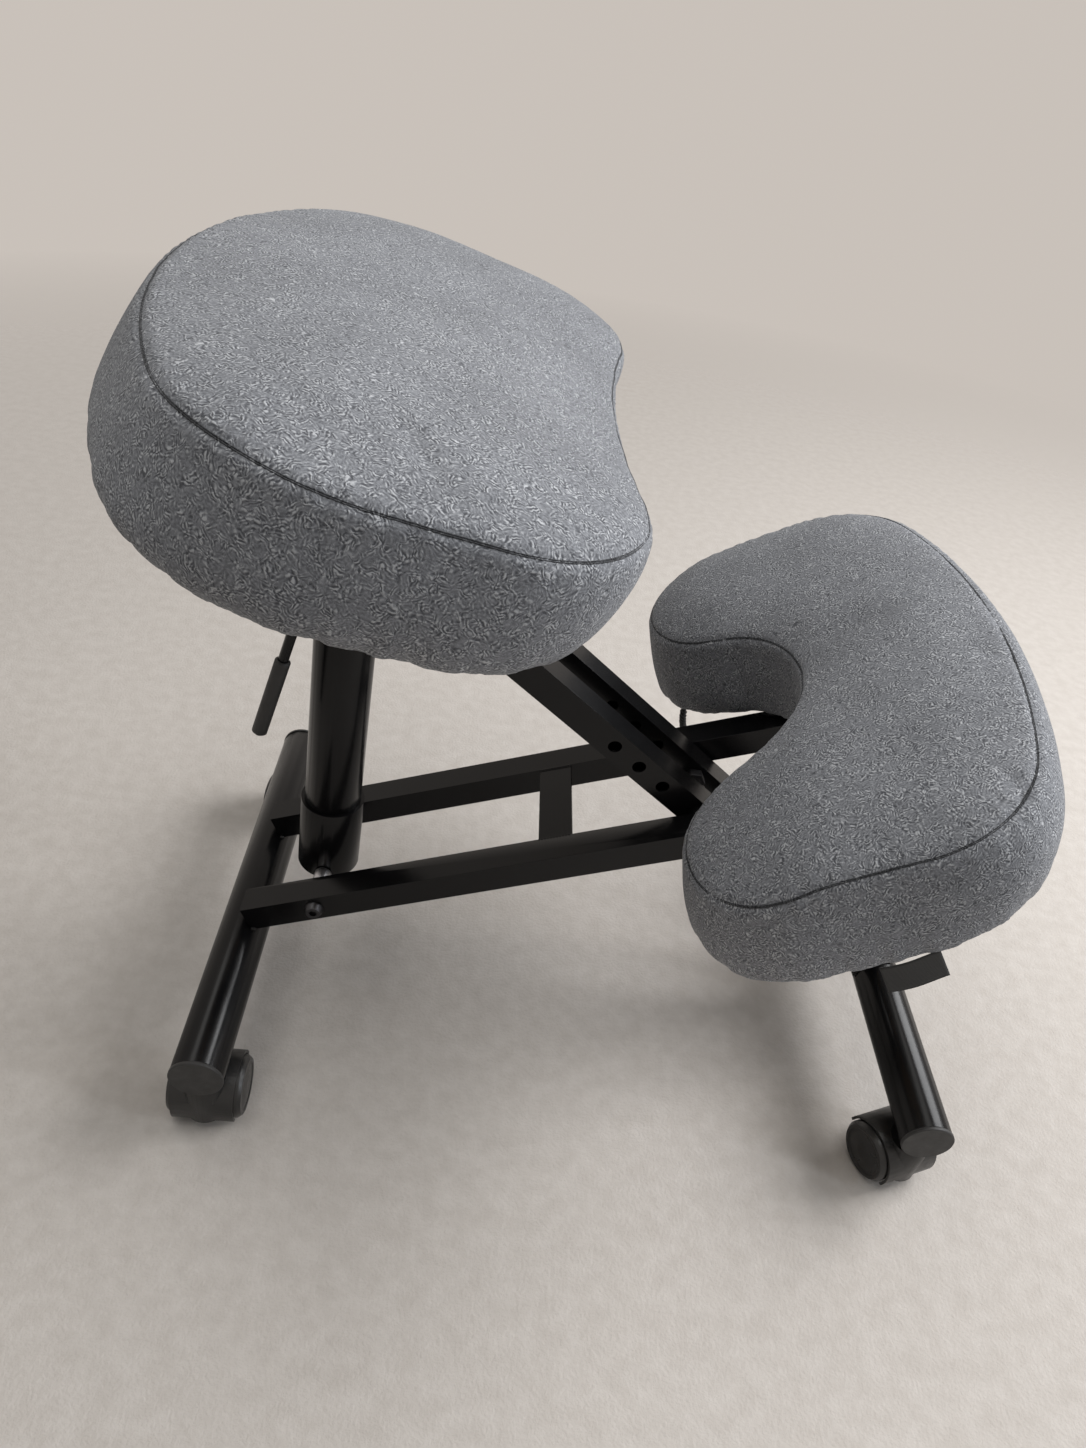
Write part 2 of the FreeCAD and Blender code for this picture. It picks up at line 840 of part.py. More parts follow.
def make_head_block():
    """Block clamped on the cylinder, hung between the cheeks on its trunnion bolts."""
    body = new_body("head")
    half_depth = cell("head_depth") / 2
    half_width = cell("head_width") / 2
    face = new_sketch(body, "XY_Plane", -number("head_below"))
    add_rectangle(face, -half_depth, half_depth, -half_width, half_width)
    pad_up(body, face, cell("head_below") + cell("head_above"))
    ears = new_sketch(body, "XZ_Plane")
    back = -cell("shaft_back")
    rise = cell("shaft_rise")
    ear = cell("ear_radius")
    add_polygon(
        ears,
        [
            (back - ear, cell("head_above") - 1),
            (back + ear, cell("head_above") - 1),
            (back + ear, rise),
            (back + ear / 2, rise + ear * 0.85),
            (back - ear / 2, rise + ear * 0.85),
            (back - ear, rise),
        ],
    )
    pad_both_ways(body, ears, cell("head_width"))
    slot = new_sketch(body, "XZ_Plane")
    add_rectangle(
        slot,
        back - ear - 1,
        back + ear + 1,
        cell("head_above"),
        rise + ear + 1,
    )
    cut_both_ways(body, slot, cell("head_width") - cell("ear_thickness") * 2)
    shaft = new_sketch(body, "XZ_Plane")
    add_circle(shaft, cell("shaft_diameter") + cell("axle_clearance") * 2, back, rise)
    cut_both_ways(body, shaft, cell("head_width") * 2)
    trunnions = new_sketch(body, "XZ_Plane")
    add_circle(trunnions, cell("bolt_diameter"))
    cut_both_ways(body, trunnions, cell("head_width") * 2)
    mouth = new_sketch(body, "XY_Plane", -number("head_below"))
    add_circle(mouth, cell("cylinder_diameter"))
    socket = feature_on(body, "Pocket", mouth, Reversed=True)
    bind(socket, Length=cell("head_below") + cell("head_recess"))
    pin = new_sketch(body, "XY_Plane")
    add_circle(pin, cell("pin_diameter") + cell("axle_clearance") * 2)
    through = feature_on(body, "Pocket", pin, Reversed=True)
    bind(through, Length=cell("head_above") + cell("shaft_rise"))
    keep(body, "head_block", HEAD)


def make_trunnions():
    """Bolts screwed into the head from each side, and the sleeves around them."""
    bolts, sleeves = [], []
    half = cell("head_width") / 2
    inner = cell("bar_gap") / 2 + cell("bar_width")
    outer = inner + cell("cheek_thickness")
    gap = cell("side_clearance")
    reach = outer + gap - cell("cylinder_diameter") / 2 - 1
    for _, side in SIDES:
        bolt = button_bolt(
            cell("bolt_diameter"), reach, cell("bolt_head_diameter"), cell("bolt_head_height")
        )
        seat_at = Placement(V(0, side * (outer + gap).value, 0), OUTWARD[side])
        bolts.append(moved(bolt, HEAD.multiply(seat_at)))
        sleeve = ring(cell("spacer_diameter"), cell("bolt_diameter"), inner - half - gap)
        sleeve_at = Placement(V(0, side * half.value, 0), OUTWARD[side])
        sleeves.append(moved(sleeve, HEAD.multiply(sleeve_at)))
    keep(group(bolts), "trunnion_bolts")
    keep(group(sleeves), "trunnion_sleeves")


def make_release_pin():
    """Valve pin in the top of the cylinder."""
    bottom = number("head_recess") - number("cylinder_cap")
    pin = cylinder(cell("pin_diameter"), cell("pin_top") - bottom)
    keep(pin, "release_pin", HEAD.multiply(Placement(V(0, 0, bottom), Rotation())))


SHAFT = HEAD.multiply(
    Placement(V(-number("shaft_back"), 0, number("shaft_rise")), Rotation())
)
LEVER_Y = -(number("head_width") / 2 + number("shaft_diameter") / 2 + 0.5)


def make_lever_rod():
    """Cross shaft with a tongue over the valve pin and a long rod down to the grip."""
    shaft_diameter = cell("shaft_diameter")
    half = number("head_width") / 2
    shaft = cylinder(shaft_diameter, half * 2 - LEVER_Y - half)
    shaft.Placement = Placement(V(0, LEVER_Y, 0), Rotation(V(1, 0, 0), -90))
    tongue = doc.addObject("Part::Box", "tongue")
    over = cell("shaft_back") + cell("pin_diameter") / 2
    thickness = cell("shaft_rise") - cell("pin_top") - cell("side_clearance") + 2.5
    bind(tongue, Length=over, Width=cell("pin_diameter"), Height=thickness)
    lowest = number("pin_top") + number("side_clearance") - number("shaft_rise")
    tongue.Placement = Placement(V(0, -number("pin_diameter") / 2, lowest), Rotation())
    rod = cylinder(shaft_diameter, cell("lever_length"))
    rod.Placement = Placement(V(0, LEVER_Y, 0), Rotation(Y_AXIS, 180 + number("lever_angle")))
    elbow = doc.addObject("Part::Sphere", "elbow")
    bind(elbow, Radius=shaft_diameter / 2)
    elbow.Placement = Placement(V(0, LEVER_Y, 0), Rotation())
    keep(fuse(shaft, tongue, rod, elbow), "lever_rod", Placement(SHAFT.Base, Rotation()))


def make_lever_grip():
    """Moulded sleeve over the lower end of the lever."""
    outer = cell("grip_diameter") / 2
    bore = cell("shaft_diameter") / 2
    length = cell("grip_length")
    edge = cell("grip_diameter") / 8
    cover = cell("grip_diameter") / 3
    outline = [
        (bore, 0),
        (outer - edge, 0),
        (outer, edge),
        (outer, length + cover - edge * 2),
        (outer - edge * 2, length + cover),
        (0, length + cover),
        (0, length),
        (bore, length),
    ]
    turn = Rotation(Y_AXIS, 180 + number("lever_angle"))
    start = V(0, 0, number("lever_length") - number("grip_length"))
    place = Placement(SHAFT.Base + V(0, LEVER_Y, 0) + turn.multVec(start), turn)
    keep(turned("grip", outline), "lever_grip", place)


# Seat and knee outlines, as rings of arcs and lines about the X axis


def polar(centre, radius, angle):
    return V(centre[0] + radius * math.cos(angle), centre[1] + radius * math.sin(angle), 0)


def arc(centre, radius, start, stop):
    middle = (start + stop) / 2
    points = [polar(centre, radius, angle) for angle in (start, middle, stop)]
    return Part.Arc(*points)


def mirror(edge_centre):
    return (edge_centre[0], -edge_centre[1])


def dent_centre(lobe_x, lobe_y, lobe, front):
    """Where the arc of the front dent is centred so that it runs on from the lobes."""
    gap = front - lobe
    return (lobe_x**2 + lobe_y**2 - gap**2) / (2 * (lobe_x - gap))


def seat_edges(inset):
    """Seat outline set in by a distance: round back, full front corners, shallow dent."""
    big = number("seat_rear_radius")
    corner = number("seat_corner_radius")
    lobe = number("seat_lobe_radius")
    back = (big - number("seat_rear"), 0)
    corner_y = number("seat_width") / 2 - corner
    corner_at = (back[0] - math.sqrt((big - corner) ** 2 - corner_y**2), corner_y)
    lobe_at = (number("seat_front") + number("seat_dent") - lobe, number("seat_lobe_spread"))
    dent_x = dent_centre(*lobe_at, lobe, number("seat_front"))
    dent = dent_x - number("seat_front")
    rear_angle = math.atan2(corner_y, corner_at[0] - back[0])
    apart = (lobe_at[0] - corner_at[0], lobe_at[1] - corner_y)
    side_angle = math.atan2(apart[1], apart[0]) + math.acos((corner - lobe) / math.hypot(*apart))
    lobe_angle = math.atan2(-lobe_at[1], dent_x - lobe_at[0])
    dent_angle = lobe_angle + math.pi
    side = (
        polar(lobe_at, lobe - inset, side_angle),
        polar(corner_at, corner - inset, side_angle),
    )
    other_side = [V(point.x, -point.y, 0) for point in side]
    return [
        arc(lobe_at, lobe - inset, lobe_angle, side_angle),
        Part.LineSegment(side[0], side[1]),
        arc(corner_at, corner - inset, side_angle, rear_angle),
        arc(back, big - inset, rear_angle, 2 * math.pi - rear_angle),
        arc(mirror(corner_at), corner - inset, -rear_angle, -side_angle),
        Part.LineSegment(other_side[1], other_side[0]),
        arc(mirror(lobe_at), lobe - inset, -side_angle, -lobe_angle),
        arc((dent_x, 0), dent + inset, 2 * math.pi - dent_angle, dent_angle),
    ]


def knee_edges(inset):
    """Horseshoe outline set in by a distance: full front, rounded arms, flared notch."""
    into_notch = inset if inset > 0 else inset * number("knee_notch_swell")
    half = number("knee_width") / 2
    front = number("knee_front_radius")
    corner = number("knee_corner_radius")
    notch = number("knee_notch_radius")
    front_at = (number("knee_front") - front, 0)
    corner_y = half - corner
    corner_at = (front_at[0] + math.sqrt((front - corner) ** 2 - corner_y**2), corner_y)
    front_angle = math.atan2(corner_y, corner_at[0] - front_at[0])
    notch_at = (-number("knee_notch") - notch, 0)
    square = math.pi / 2
    notch_angle = square - math.radians(number("knee_flare"))
    normal = (math.cos(notch_angle), math.sin(notch_angle))
    corner_of_notch = polar(notch_at, notch, notch_angle)
    spare = normal[1] * (half - corner_of_notch.y)
    spare -= normal[0] * (number("knee_rear") + corner_of_notch.x)
    end = spare / (1 + normal[1] - normal[0])
    end_at = (end - number("knee_rear"), half - end)
    end_angle = math.pi + notch_angle
    side = (polar(corner_at, corner - inset, square), polar(end_at, end - inset, square))
    flare = (polar(end_at, end - inset, end_angle), polar(notch_at, notch + into_notch, notch_angle))
    other_side = [V(point.x, -point.y, 0) for point in side]
    other_flare = [V(point.x, -point.y, 0) for point in flare]
    return [
        arc(front_at, front - inset, -front_angle, front_angle),
        arc(corner_at, corner - inset, front_angle, square),
        Part.LineSegment(side[0], side[1]),
        arc(end_at, end - inset, square, end_angle),
        Part.LineSegment(flare[0], flare[1]),
        arc(notch_at, notch + into_notch, notch_angle, -notch_angle),
        Part.LineSegment(other_flare[1], other_flare[0]),
        arc(mirror(end_at), end - inset, -end_angle, -square),
        Part.LineSegment(other_side[1], other_side[0]),
        arc(mirror(corner_at), corner - inset, -square, -front_angle),
    ]


# Cushions and boards

BOARD_INSET = {"seat": "board_inset", "knee": "knee_board_inset"}


def cushion_levels(prefix):
    """Height above the top seam, inset and lean of each section, from hem to crown."""
    side = number(f"{prefix}_side")
    low = number(f"{prefix}_low")
    crown = number(f"{prefix}_crown")
    bulge = number(f"{prefix}_bulge")
    tuck = number(f"{prefix}_tuck")
    lean = number(f"{prefix}_lean")
    levels = []
    for share in (1, 0.8, 0.45):
        depth = low + (side - low) * share
        levels.append((-depth, (bulge + tuck) * share**3 - bulge, -lean * depth / side))
    for share in (1, 0.4, 0):
        inset = -bulge * math.sin(share * math.pi / 2)
        levels.append((-low * share, inset, -lean * low * share / side))
    for height, inset in ((0.55, 0.85), (0.88, 2.4), (1, 4)):
        levels.append((crown * height, crown * inset, 0))
    return levels


def board_lean(prefix):
    """How far a board lies behind the top seam, as its cushion's sides do there."""
    side = number(f"{prefix}_side")
    return -number(f"{prefix}_lean") * (1 - number("board_thickness") / 2 / side)


def shifted(edges, along):
    """The same outline moved along X."""
    for edge in edges:
        edge.translate(V(along, 0, 0))
    return edges


def make_cushion(prefix, edges, frame):
    """Padded cushion with a crowned top and full sides, let in underneath for its board."""
    body = new_body(f"{prefix}_cushion")
    sections = []
    for height, inset, along in cushion_levels(prefix):
        section = new_sketch(body, "XY_Plane", height)
        add_edges(section, shifted(edges(inset), along))
        sections.append(section)
    doc.recompute()
    loft = body.newObject("PartDesign::AdditiveLoft", "loft")
    loft.Profile = sections[0]
    loft.Sections = sections[1:]
    loft.Ruled = False
    hem = -number(f"{prefix}_side")
    room = number(BOARD_INSET[prefix]) - number("board_clearance")
    recess = new_sketch(body, "XY_Plane", hem)
    add_edges(recess, shifted(edges(room), board_lean(prefix)))
    doc.recompute()
    pocket = feature_on(body, "Pocket", recess, Reversed=True)
    bind(pocket, Length=cell("board_thickness"))
    keep(body, f"{prefix}_cushion", frame)


def screw_spots(length, width, ahead, margin, across=0.0):
    """Four points near the corners of a plate."""
    x = length / 2 - margin
    y = width / 2 - margin
    return [(ahead + sx * x, across + sy * y) for sx in (1, -1) for sy in (1, -1)]


def seat_screw_spots():
    margin = number("screw_head_diameter")
    return screw_spots(
        number("plate_length"), number("plate_width"), number("plate_ahead"), margin
    )


def knee_screw_spots(side):
    margin = number("screw_head_diameter") * 0.65
    return screw_spots(
        number("knee_plate_length"),
        number("knee_plate_width"),
        number("knee_plate_ahead"),
        margin,
        side * number("rail_offset"),
    )


def make_board(prefix, edges, spots, frame):
    """Plywood board flush with a cushion's hem, bored from below for its screws."""
    body = new_body(f"{prefix}_board")
    hem = -number(f"{prefix}_side")
    outline = new_sketch(body, "XY_Plane", hem)
    inset = number(BOARD_INSET[prefix])
    add_edges(outline, shifted(edges(inset), board_lean(prefix)))
    pad_up(body, outline, cell("board_thickness"))
    bores = new_sketch(body, "XY_Plane", hem)
    for x, y in spots:
        add_circle(bores, cell("screw_diameter"), x, y)
    doc.recompute()
    bore = feature_on(body, "Pocket", bores, Reversed=True)
    bind(bore, Length=cell("board_thickness") - 1)
    keep(body, f"{prefix}_board", frame)


def make_plate(name, length, width, ahead, across, thickness, top, spots, frame):
    """Flat steel plate screwed up under a board."""
    body = new_body(name)
    outline = new_sketch(body, "XY_Plane", top - number(thickness))
    half_length = cell(length) / 2
    half_width = cell(width) / 2
    add_rectangle(
        outline,
        cell(ahead) - half_length,
        cell(ahead) + half_length,
        across - half_width,
        across + half_width,
    )
    for x, y in spots:
        add_circle(outline, cell("screw_diameter"), x, y)
    pad_up(body, outline, cell(thickness))
    keep(body, name, frame)


def make_screws(name, spots, under, frame):
    """Pan-head screws driven up through a plate into its board."""
    screws = []
    for x, y in spots:
        shank = cylinder(cell("screw_diameter"), cell("screw_length") - 2)
        head = cylinder(
            cell("screw_head_diameter"), cell("screw_head_height"), -cell("screw_head_height")
        )
        slot = hexagon(cell("screw_diameter") * 0.6, 2, -cell("screw_head_height") - 0.5)
        screw = cut(fuse(shank, head), slot)
        screws.append(moved(screw, frame.multiply(Placement(V(x, y, under), Rotation()))))
    keep(group(screws), name)


def make_cheek(side_name, side):
    """Plate welded to a bar's outer face and to the seat plate, holding the column head."""
    body = new_body(f"cheek_{side_name}")
    outline = new_sketch(body, "XZ_Plane")
    slope = math.tan(FALL - math.radians(number("seat_tilt")))
    eye = TRUNNION_IN_SEAT
    around = number("bolt_head_diameter")
    front = number("cheek_front")
    bar_start = eye.x + number("bar_end")
    lower = PLATE_UNDER - number("cheek_depth") - number("cheek_margin")
    corners = [
        (eye.x - number("cheek_rear"), PLATE_UNDER),
        (front, PLATE_UNDER),
        (front, lower),
        (bar_start, lower + (front - bar_start) * slope),
        (eye.x + around / 2, eye.z - around),
        (eye.x - around / 2, eye.z - around),
        (eye.x - around, eye.z - around / 2),
    ]
    add_polygon(outline, corners)
    bore = cell("bolt_diameter") + cell("trunnion_slack") * 2
    add_circle(outline, bore, eye.x, eye.z)
    pad_both_ways(body, outline, cell("cheek_thickness"))
    y = side * (BAR_OUTER + number("cheek_thickness") / 2)
    keep(body, f"seat_cheek_{side_name}", SEAT.multiply(Placement(V(0, y, 0), Rotation())))


# Casters


def caster_frame(end, sign, side_name, side):
    """Frame on the floor under the stem: X the way the wheels trail, Y along the axle."""
    y = side * (number("crossbar_length") / 2 - number("stem_inset"))
    turn = Rotation(Z_AXIS, CASTER_YAW[(end, side_name)])
    return Placement(V(sign * FRONT_X, y, 0), turn)


HOOD_TOP = number("crossbar_height") - TUBE_RADIUS - number("stem_collar")
WHEEL_RADIUS = number("wheel_diameter") / 2


def sector(radius, start, stop):
    """Slice of a disc about the axle, between two angles in degrees."""
    axle = (number("trail"), WHEEL_RADIUS)
    first, last = math.radians(start), math.radians(stop)
    centre = V(axle[0], axle[1], 0)
    return [
        Part.LineSegment(centre, polar(axle, radius, first)),
        arc(axle, radius, first, last),
        Part.LineSegment(polar(axle, radius, last), centre),
    ]


def band(inner, outer, start, stop):
    """Slice of a ring about the axle, between two angles in degrees."""
    axle = (number("trail"), WHEEL_RADIUS)
    first, last = math.radians(start), math.radians(stop)
    return [
        arc(axle, outer, first, last),
        Part.LineSegment(polar(axle, outer, last), polar(axle, inner, last)),
        arc(axle, inner, last, first),
        Part.LineSegment(polar(axle, inner, first), polar(axle, outer, first)),
    ]


def make_hood(name, frame):
    """Caster hood: a round stem housing, a core between the wheels and an arched fender."""
    body = new_body(name)
    inner = WHEEL_RADIUS + number("fender_gap")
    outer = inner + number("fender_wall")
    nose = cell("housing_diameter") / 2
    base, chamfer = cell("housing_base"), cell("housing_chamfer")
    housing = new_sketch(body, "XZ_Plane")
    corners = [(0, base), (nose - chamfer, base), (nose, base + chamfer), (nose, HOOD_TOP)]
    add_polygon(housing, corners + [(0, HOOD_TOP)])
    feature_on(body, "Revolution", housing, ReferenceAxis=(housing, ["V_Axis"]), Angle=360)
    core = new_sketch(body, "XZ_Plane")
    add_circle(core, cell("core_diameter"), cell("trail"), cell("wheel_diameter") / 2)
    pad_both_ways(body, core, cell("hub_width"))
    web = new_sketch(body, "XZ_Plane")
    add_edges(web, sector(outer, number("fender_start"), number("fender_stop")))
    pad_both_ways(body, web, cell("hub_width"))
    fender = new_sketch(body, "XZ_Plane")
    add_edges(fender, band(inner, outer, number("fender_start"), number("fender_stop")))
    pad_both_ways(body, fender, cell("fender_width"))
    axle = new_sketch(body, "XZ_Plane")
    add_circle(axle, cell("axle_diameter"), cell("trail"), cell("wheel_diameter") / 2)
    cut_both_ways(body, axle, cell("fender_width") * 2)
    stem = new_sketch(body, "XY_Plane", HOOD_TOP - number("stem_depth"))
    add_circle(stem, cell("stem_diameter") + cell("axle_clearance") * 2)
    doc.recompute()
    bore = feature_on(body, "Pocket", stem, Reversed=True)
    bind(bore, Length=cell("stem_depth") + cell("fender_wall") * 2)
    keep(body, name, frame)


def make_stem(name, frame):
    """Steel stem pushed up into the crossbar, with the collar that the tube rests on."""
    shank = cell("stem_diameter") / 2
    collar = cell("collar_diameter") / 2
    top = HOOD_TOP + cell("stem_collar")
    outline = [
        (0, HOOD_TOP - cell("stem_depth") + cell("side_clearance")),
        (shank, HOOD_TOP - cell("stem_depth") + cell("side_clearance")),
        (shank, HOOD_TOP + cell("side_clearance")),
        (collar, HOOD_TOP + cell("side_clearance")),
        (collar, top),
        (shank, top),
        (shank, top + cell("socket_length") - 2),
        (shank - 1.5, top + cell("socket_length")),
        (0, top + cell("socket_length")),
    ]
    keep(turned(name, outline), name, frame)


def make_axle(name, frame):
    """Steel pin through the hood that both wheels turn on."""
    reach = cell("hub_width") / 2 + cell("wheel_gap") + cell("wheel_width") - cell("wheel_dish")
    length = (reach - 1.5) * 2
    pin = cylinder(cell("axle_diameter"), length, length / -2)
    centre = Placement(
        V(number("trail"), 0, WHEEL_RADIUS),
        Rotation(V(1, 0, 0), 90),
    )
    keep(moved(pin, centre), name, frame.multiply(pin.Placement))


def make_wheel(name, frame, face):
    """Solid wheel with a rounded tread and a shallow dish in its outer face."""
    radius = cell("wheel_diameter") / 2
    chamfer = cell("wheel_chamfer")
    width = cell("wheel_width")
    bore = cell("axle_diameter") / 2 + cell("axle_clearance")
    rim = cell("wheel_rim")
    dish = cell("wheel_dish")
    outline = [
        (bore, 0),
        (radius - chamfer, 0),
        (radius, chamfer),
        (radius, width - chamfer * 1.6),
        (radius - chamfer, width - dish / 2),
        (radius - rim, width - dish / 2),
        (radius - rim - dish, width - dish),
        (cell("axle_diameter"), width),
        (0, width),
        (0, width - dish),
        (bore, width - dish),
    ]
    offset = number("hub_width") / 2 + number("wheel_gap")
    centre = Placement(V(number("trail"), face * offset, WHEEL_RADIUS), OUTWARD[face])
    keep(turned(name, outline), name, frame.multiply(centre))


def make_caster(end, sign, side_name, side):
    place = f"{end}_{side_name}"
    frame = caster_frame(end, sign, side_name, side)
    make_stem(f"caster_stem_{place}", frame)
    make_hood(f"caster_hood_{place}", frame)
    make_axle(f"caster_axle_{place}", frame)
    make_wheel(f"caster_wheel_{place}_a", frame, LEFT)
    make_wheel(f"caster_wheel_{place}_b", frame, RIGHT)


# Drawstring


def make_drawstring():
    """End of the cover's drawstring, hanging from the hem of the left knee lobe."""
    hem = KNEE_FRAME.multVec(V(number("string_along"), number("string_across"), KNEE_HEM))
    length, swing = number("string_length"), number("string_swing")
    points = [
        hem,
        hem + V(swing * 0.15, 0, -length * 0.35),
        hem + V(swing * 0.7, -swing * 0.2, -length * 0.7),
        hem + V(swing, -swing * 0.2, -length),
    ]
    path = Part.BSplineCurve()
    path.interpolate(points)
    wire = Part.Wire([path.toShape()])
    start = path.tangent(path.FirstParameter)[0]
    circle = Part.Circle(points[0], start, number("string_diameter") / 2)
    profile = Part.Wire([circle.toShape()])
    tail = doc.addObject("Part::Feature", "drawstring")
    tail.Shape = wire.makePipeShell([profile], True, True)
    keep(tail, "drawstring_tail")


# Assembly


def make_frame():
    for end, sign in ENDS:
        make_crossbar(end, sign)
        for side_name, side in SIDES:
            make_cap(end, sign, side_name, side)
            make_caster(end, sign, side_name, side)
    for side_name, side in SIDES:
        make_rail(side_name, side)
        make_bar(side_name, side)
    make_brace()
    make_pivot_fasteners()
    make_base_fasteners()


def make_column():
    make_column_cup()
    make_column_tube()
    make_guide_bush()
    make_inner_cylinder()
    make_piston_rod()
    make_head_block()
    make_trunnions()
    make_release_pin()
    make_lever_rod()
    make_lever_grip()


def make_seat():
    spots = seat_screw_spots()
    make_cushion("seat", seat_edges, SEAT)
    make_board("seat", seat_edges, spots, SEAT)
    make_plate(
        "seat_plate", "plate_length", "plate_width", "plate_ahead", 0,
        "plate_thickness", -number("seat_side"), spots, SEAT,
    )
    make_screws("seat_screws", spots, PLATE_UNDER, SEAT)
    for side_name, side in SIDES:
        make_cheek(side_name, side)


def make_knee_rest():
    spots = [spot for _, side in SIDES for spot in knee_screw_spots(side)]
    make_cushion("knee", knee_edges, KNEE_FRAME)
    make_board("knee", knee_edges, spots, KNEE_FRAME)
    for side_name, side in SIDES:
        make_plate(
            f"knee_plate_{side_name}", "knee_plate_length", "knee_plate_width",
            "knee_plate_ahead", side * cell("rail_offset"), "knee_plate_thickness",
            KNEE_HEM, knee_screw_spots(side), KNEE_FRAME,
        )
    make_screws("knee_screws", spots, KNEE_HEM - number("knee_plate_thickness"), KNEE_FRAME)
    make_drawstring()


def check_document():
    """Stop if any object failed to compute or any sub-part has no sound shape."""
    failed = [
        item.Name
        for item in doc.Objects
        if "Invalid" in item.State or "Error" in item.State
    ]
    for part in SUBPARTS:
        if part.Shape.isNull() or not part.Shape.isValid() or not part.Shape.Solids:
            failed.append(part.Label)
    if failed:
        raise RuntimeError(f"failed: {failed}")


def export_parts():
    os.makedirs("parts", exist_ok=True)
    for part in SUBPARTS:
        part.Shape.exportStep(os.path.join("parts", f"{part.Label}.step"))


make_frame()
make_column()
make_seat()
make_knee_rest()
doc.recompute()
check_document()
export_parts()
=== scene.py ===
import json
import math

import bmesh
import bpy
import numpy as np
from mathutils import Matrix, Vector, noise
from mathutils.bvhtree import BVHTree
from mathutils.kdtree import KDTree


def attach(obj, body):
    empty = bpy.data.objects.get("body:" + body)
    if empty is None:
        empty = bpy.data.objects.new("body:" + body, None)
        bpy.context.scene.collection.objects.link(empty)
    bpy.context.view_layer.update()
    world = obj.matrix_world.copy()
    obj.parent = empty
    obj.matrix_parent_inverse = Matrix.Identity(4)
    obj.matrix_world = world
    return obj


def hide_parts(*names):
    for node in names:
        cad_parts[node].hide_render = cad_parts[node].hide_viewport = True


# Looks of a kneeling chair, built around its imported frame. Metres, +X forward, +Z up.

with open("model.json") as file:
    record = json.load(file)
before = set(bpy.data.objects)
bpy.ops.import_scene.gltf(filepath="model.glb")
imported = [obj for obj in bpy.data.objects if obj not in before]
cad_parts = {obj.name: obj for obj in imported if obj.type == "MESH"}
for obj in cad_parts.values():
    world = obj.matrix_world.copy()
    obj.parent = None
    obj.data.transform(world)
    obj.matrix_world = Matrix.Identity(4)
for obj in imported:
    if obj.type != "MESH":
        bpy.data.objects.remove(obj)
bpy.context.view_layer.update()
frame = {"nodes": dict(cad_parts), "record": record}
nodes = frame["nodes"]

MM = 0.001


def ease(value):
    """Smooth step from 0 to 1, of a number or an array."""
    value = np.clip(value, 0.0, 1.0)
    return value * value * (3 - 2 * value)


def placed(base, pitch):
    """Frame at a point, turned about Y by degrees (front down for a positive angle)."""
    return Matrix.Translation(base) @ Matrix.Rotation(math.radians(pitch), 4, "Y")


SEAT = placed((-0.1894, 0, 0.603), 13)
KNEE = placed((0.140103, 0, 0.390313), -30.5)


# Outlines: rings of arcs and lines, seen along the cushion's own Z


def on_arc(centre, radius, start, stop, hollow=False):
    """Points and inward directions along an arc. A hollow arc has the cushion outside it."""
    count = max(3, int(abs(stop - start) * radius / 0.002))
    points = []
    for angle in np.linspace(start, stop, count, endpoint=False):
        out = np.array((math.cos(angle), math.sin(angle)))
        points.append((np.array(centre) + out * radius, out if hollow else -out))
    return points


def on_line(start, stop, inward):
    count = max(2, int(math.dist(start, stop) / 0.002))
    start, stop = np.array(start), np.array(stop)
    return [(start + (stop - start) * i / count, np.array(inward)) for i in range(count)]


def polar(centre, radius, angle):
    return (centre[0] + radius * math.cos(angle), centre[1] + radius * math.sin(angle))


def mirrored(points):
    """The same run on the other side, in the opposite order."""
    flip = np.array((1, -1))
    return [(point * flip, inward * flip) for point, inward in reversed(points)]


class Outline:
    """Closed ring resampled to even steps: points, inward directions and distances."""

    def __init__(self, run, step=0.003):
        points = np.array([point for point, _ in run])
        inward = np.array([direction for _, direction in run])
        gaps = np.linalg.norm(np.roll(points, -1, 0) - points, axis=1)
        along = np.concatenate(([0], np.cumsum(gaps)))
        self.length = along[-1]
        count = int(self.length / step)
        self.along = np.linspace(0, self.length, count, endpoint=False)

        def resample(values):
            closed = np.vstack((values, values[:1]))
            columns = [np.interp(self.along, along, closed[:, i]) for i in (0, 1)]
            return np.stack(columns, 1)

        self.points = resample(points)
        self.inward = resample(inward)
        self.inward /= np.linalg.norm(self.inward, axis=1)[:, None]
        self.hollow = np.zeros(count, bool)

    def ring(self, inset, height, lean=0.0, hollow_share=1.0, front=(0.0, 0.0, 1.0)):
        """The outline set in and moved along X; its hollow swells less, its front more."""
        insets = np.where(self.hollow & (inset < 0), inset * hollow_share, inset)
        fullness, first, last = front
        ahead = np.clip((self.points[:, 0] - first) / (last - first), 0, 1)
        insets = insets - fullness * ahead * ahead * (3 - 2 * ahead)
        flat = self.points + self.inward * insets[:, None]
        flat[:, 0] += lean
        return np.column_stack((flat, np.full(len(flat), height)))


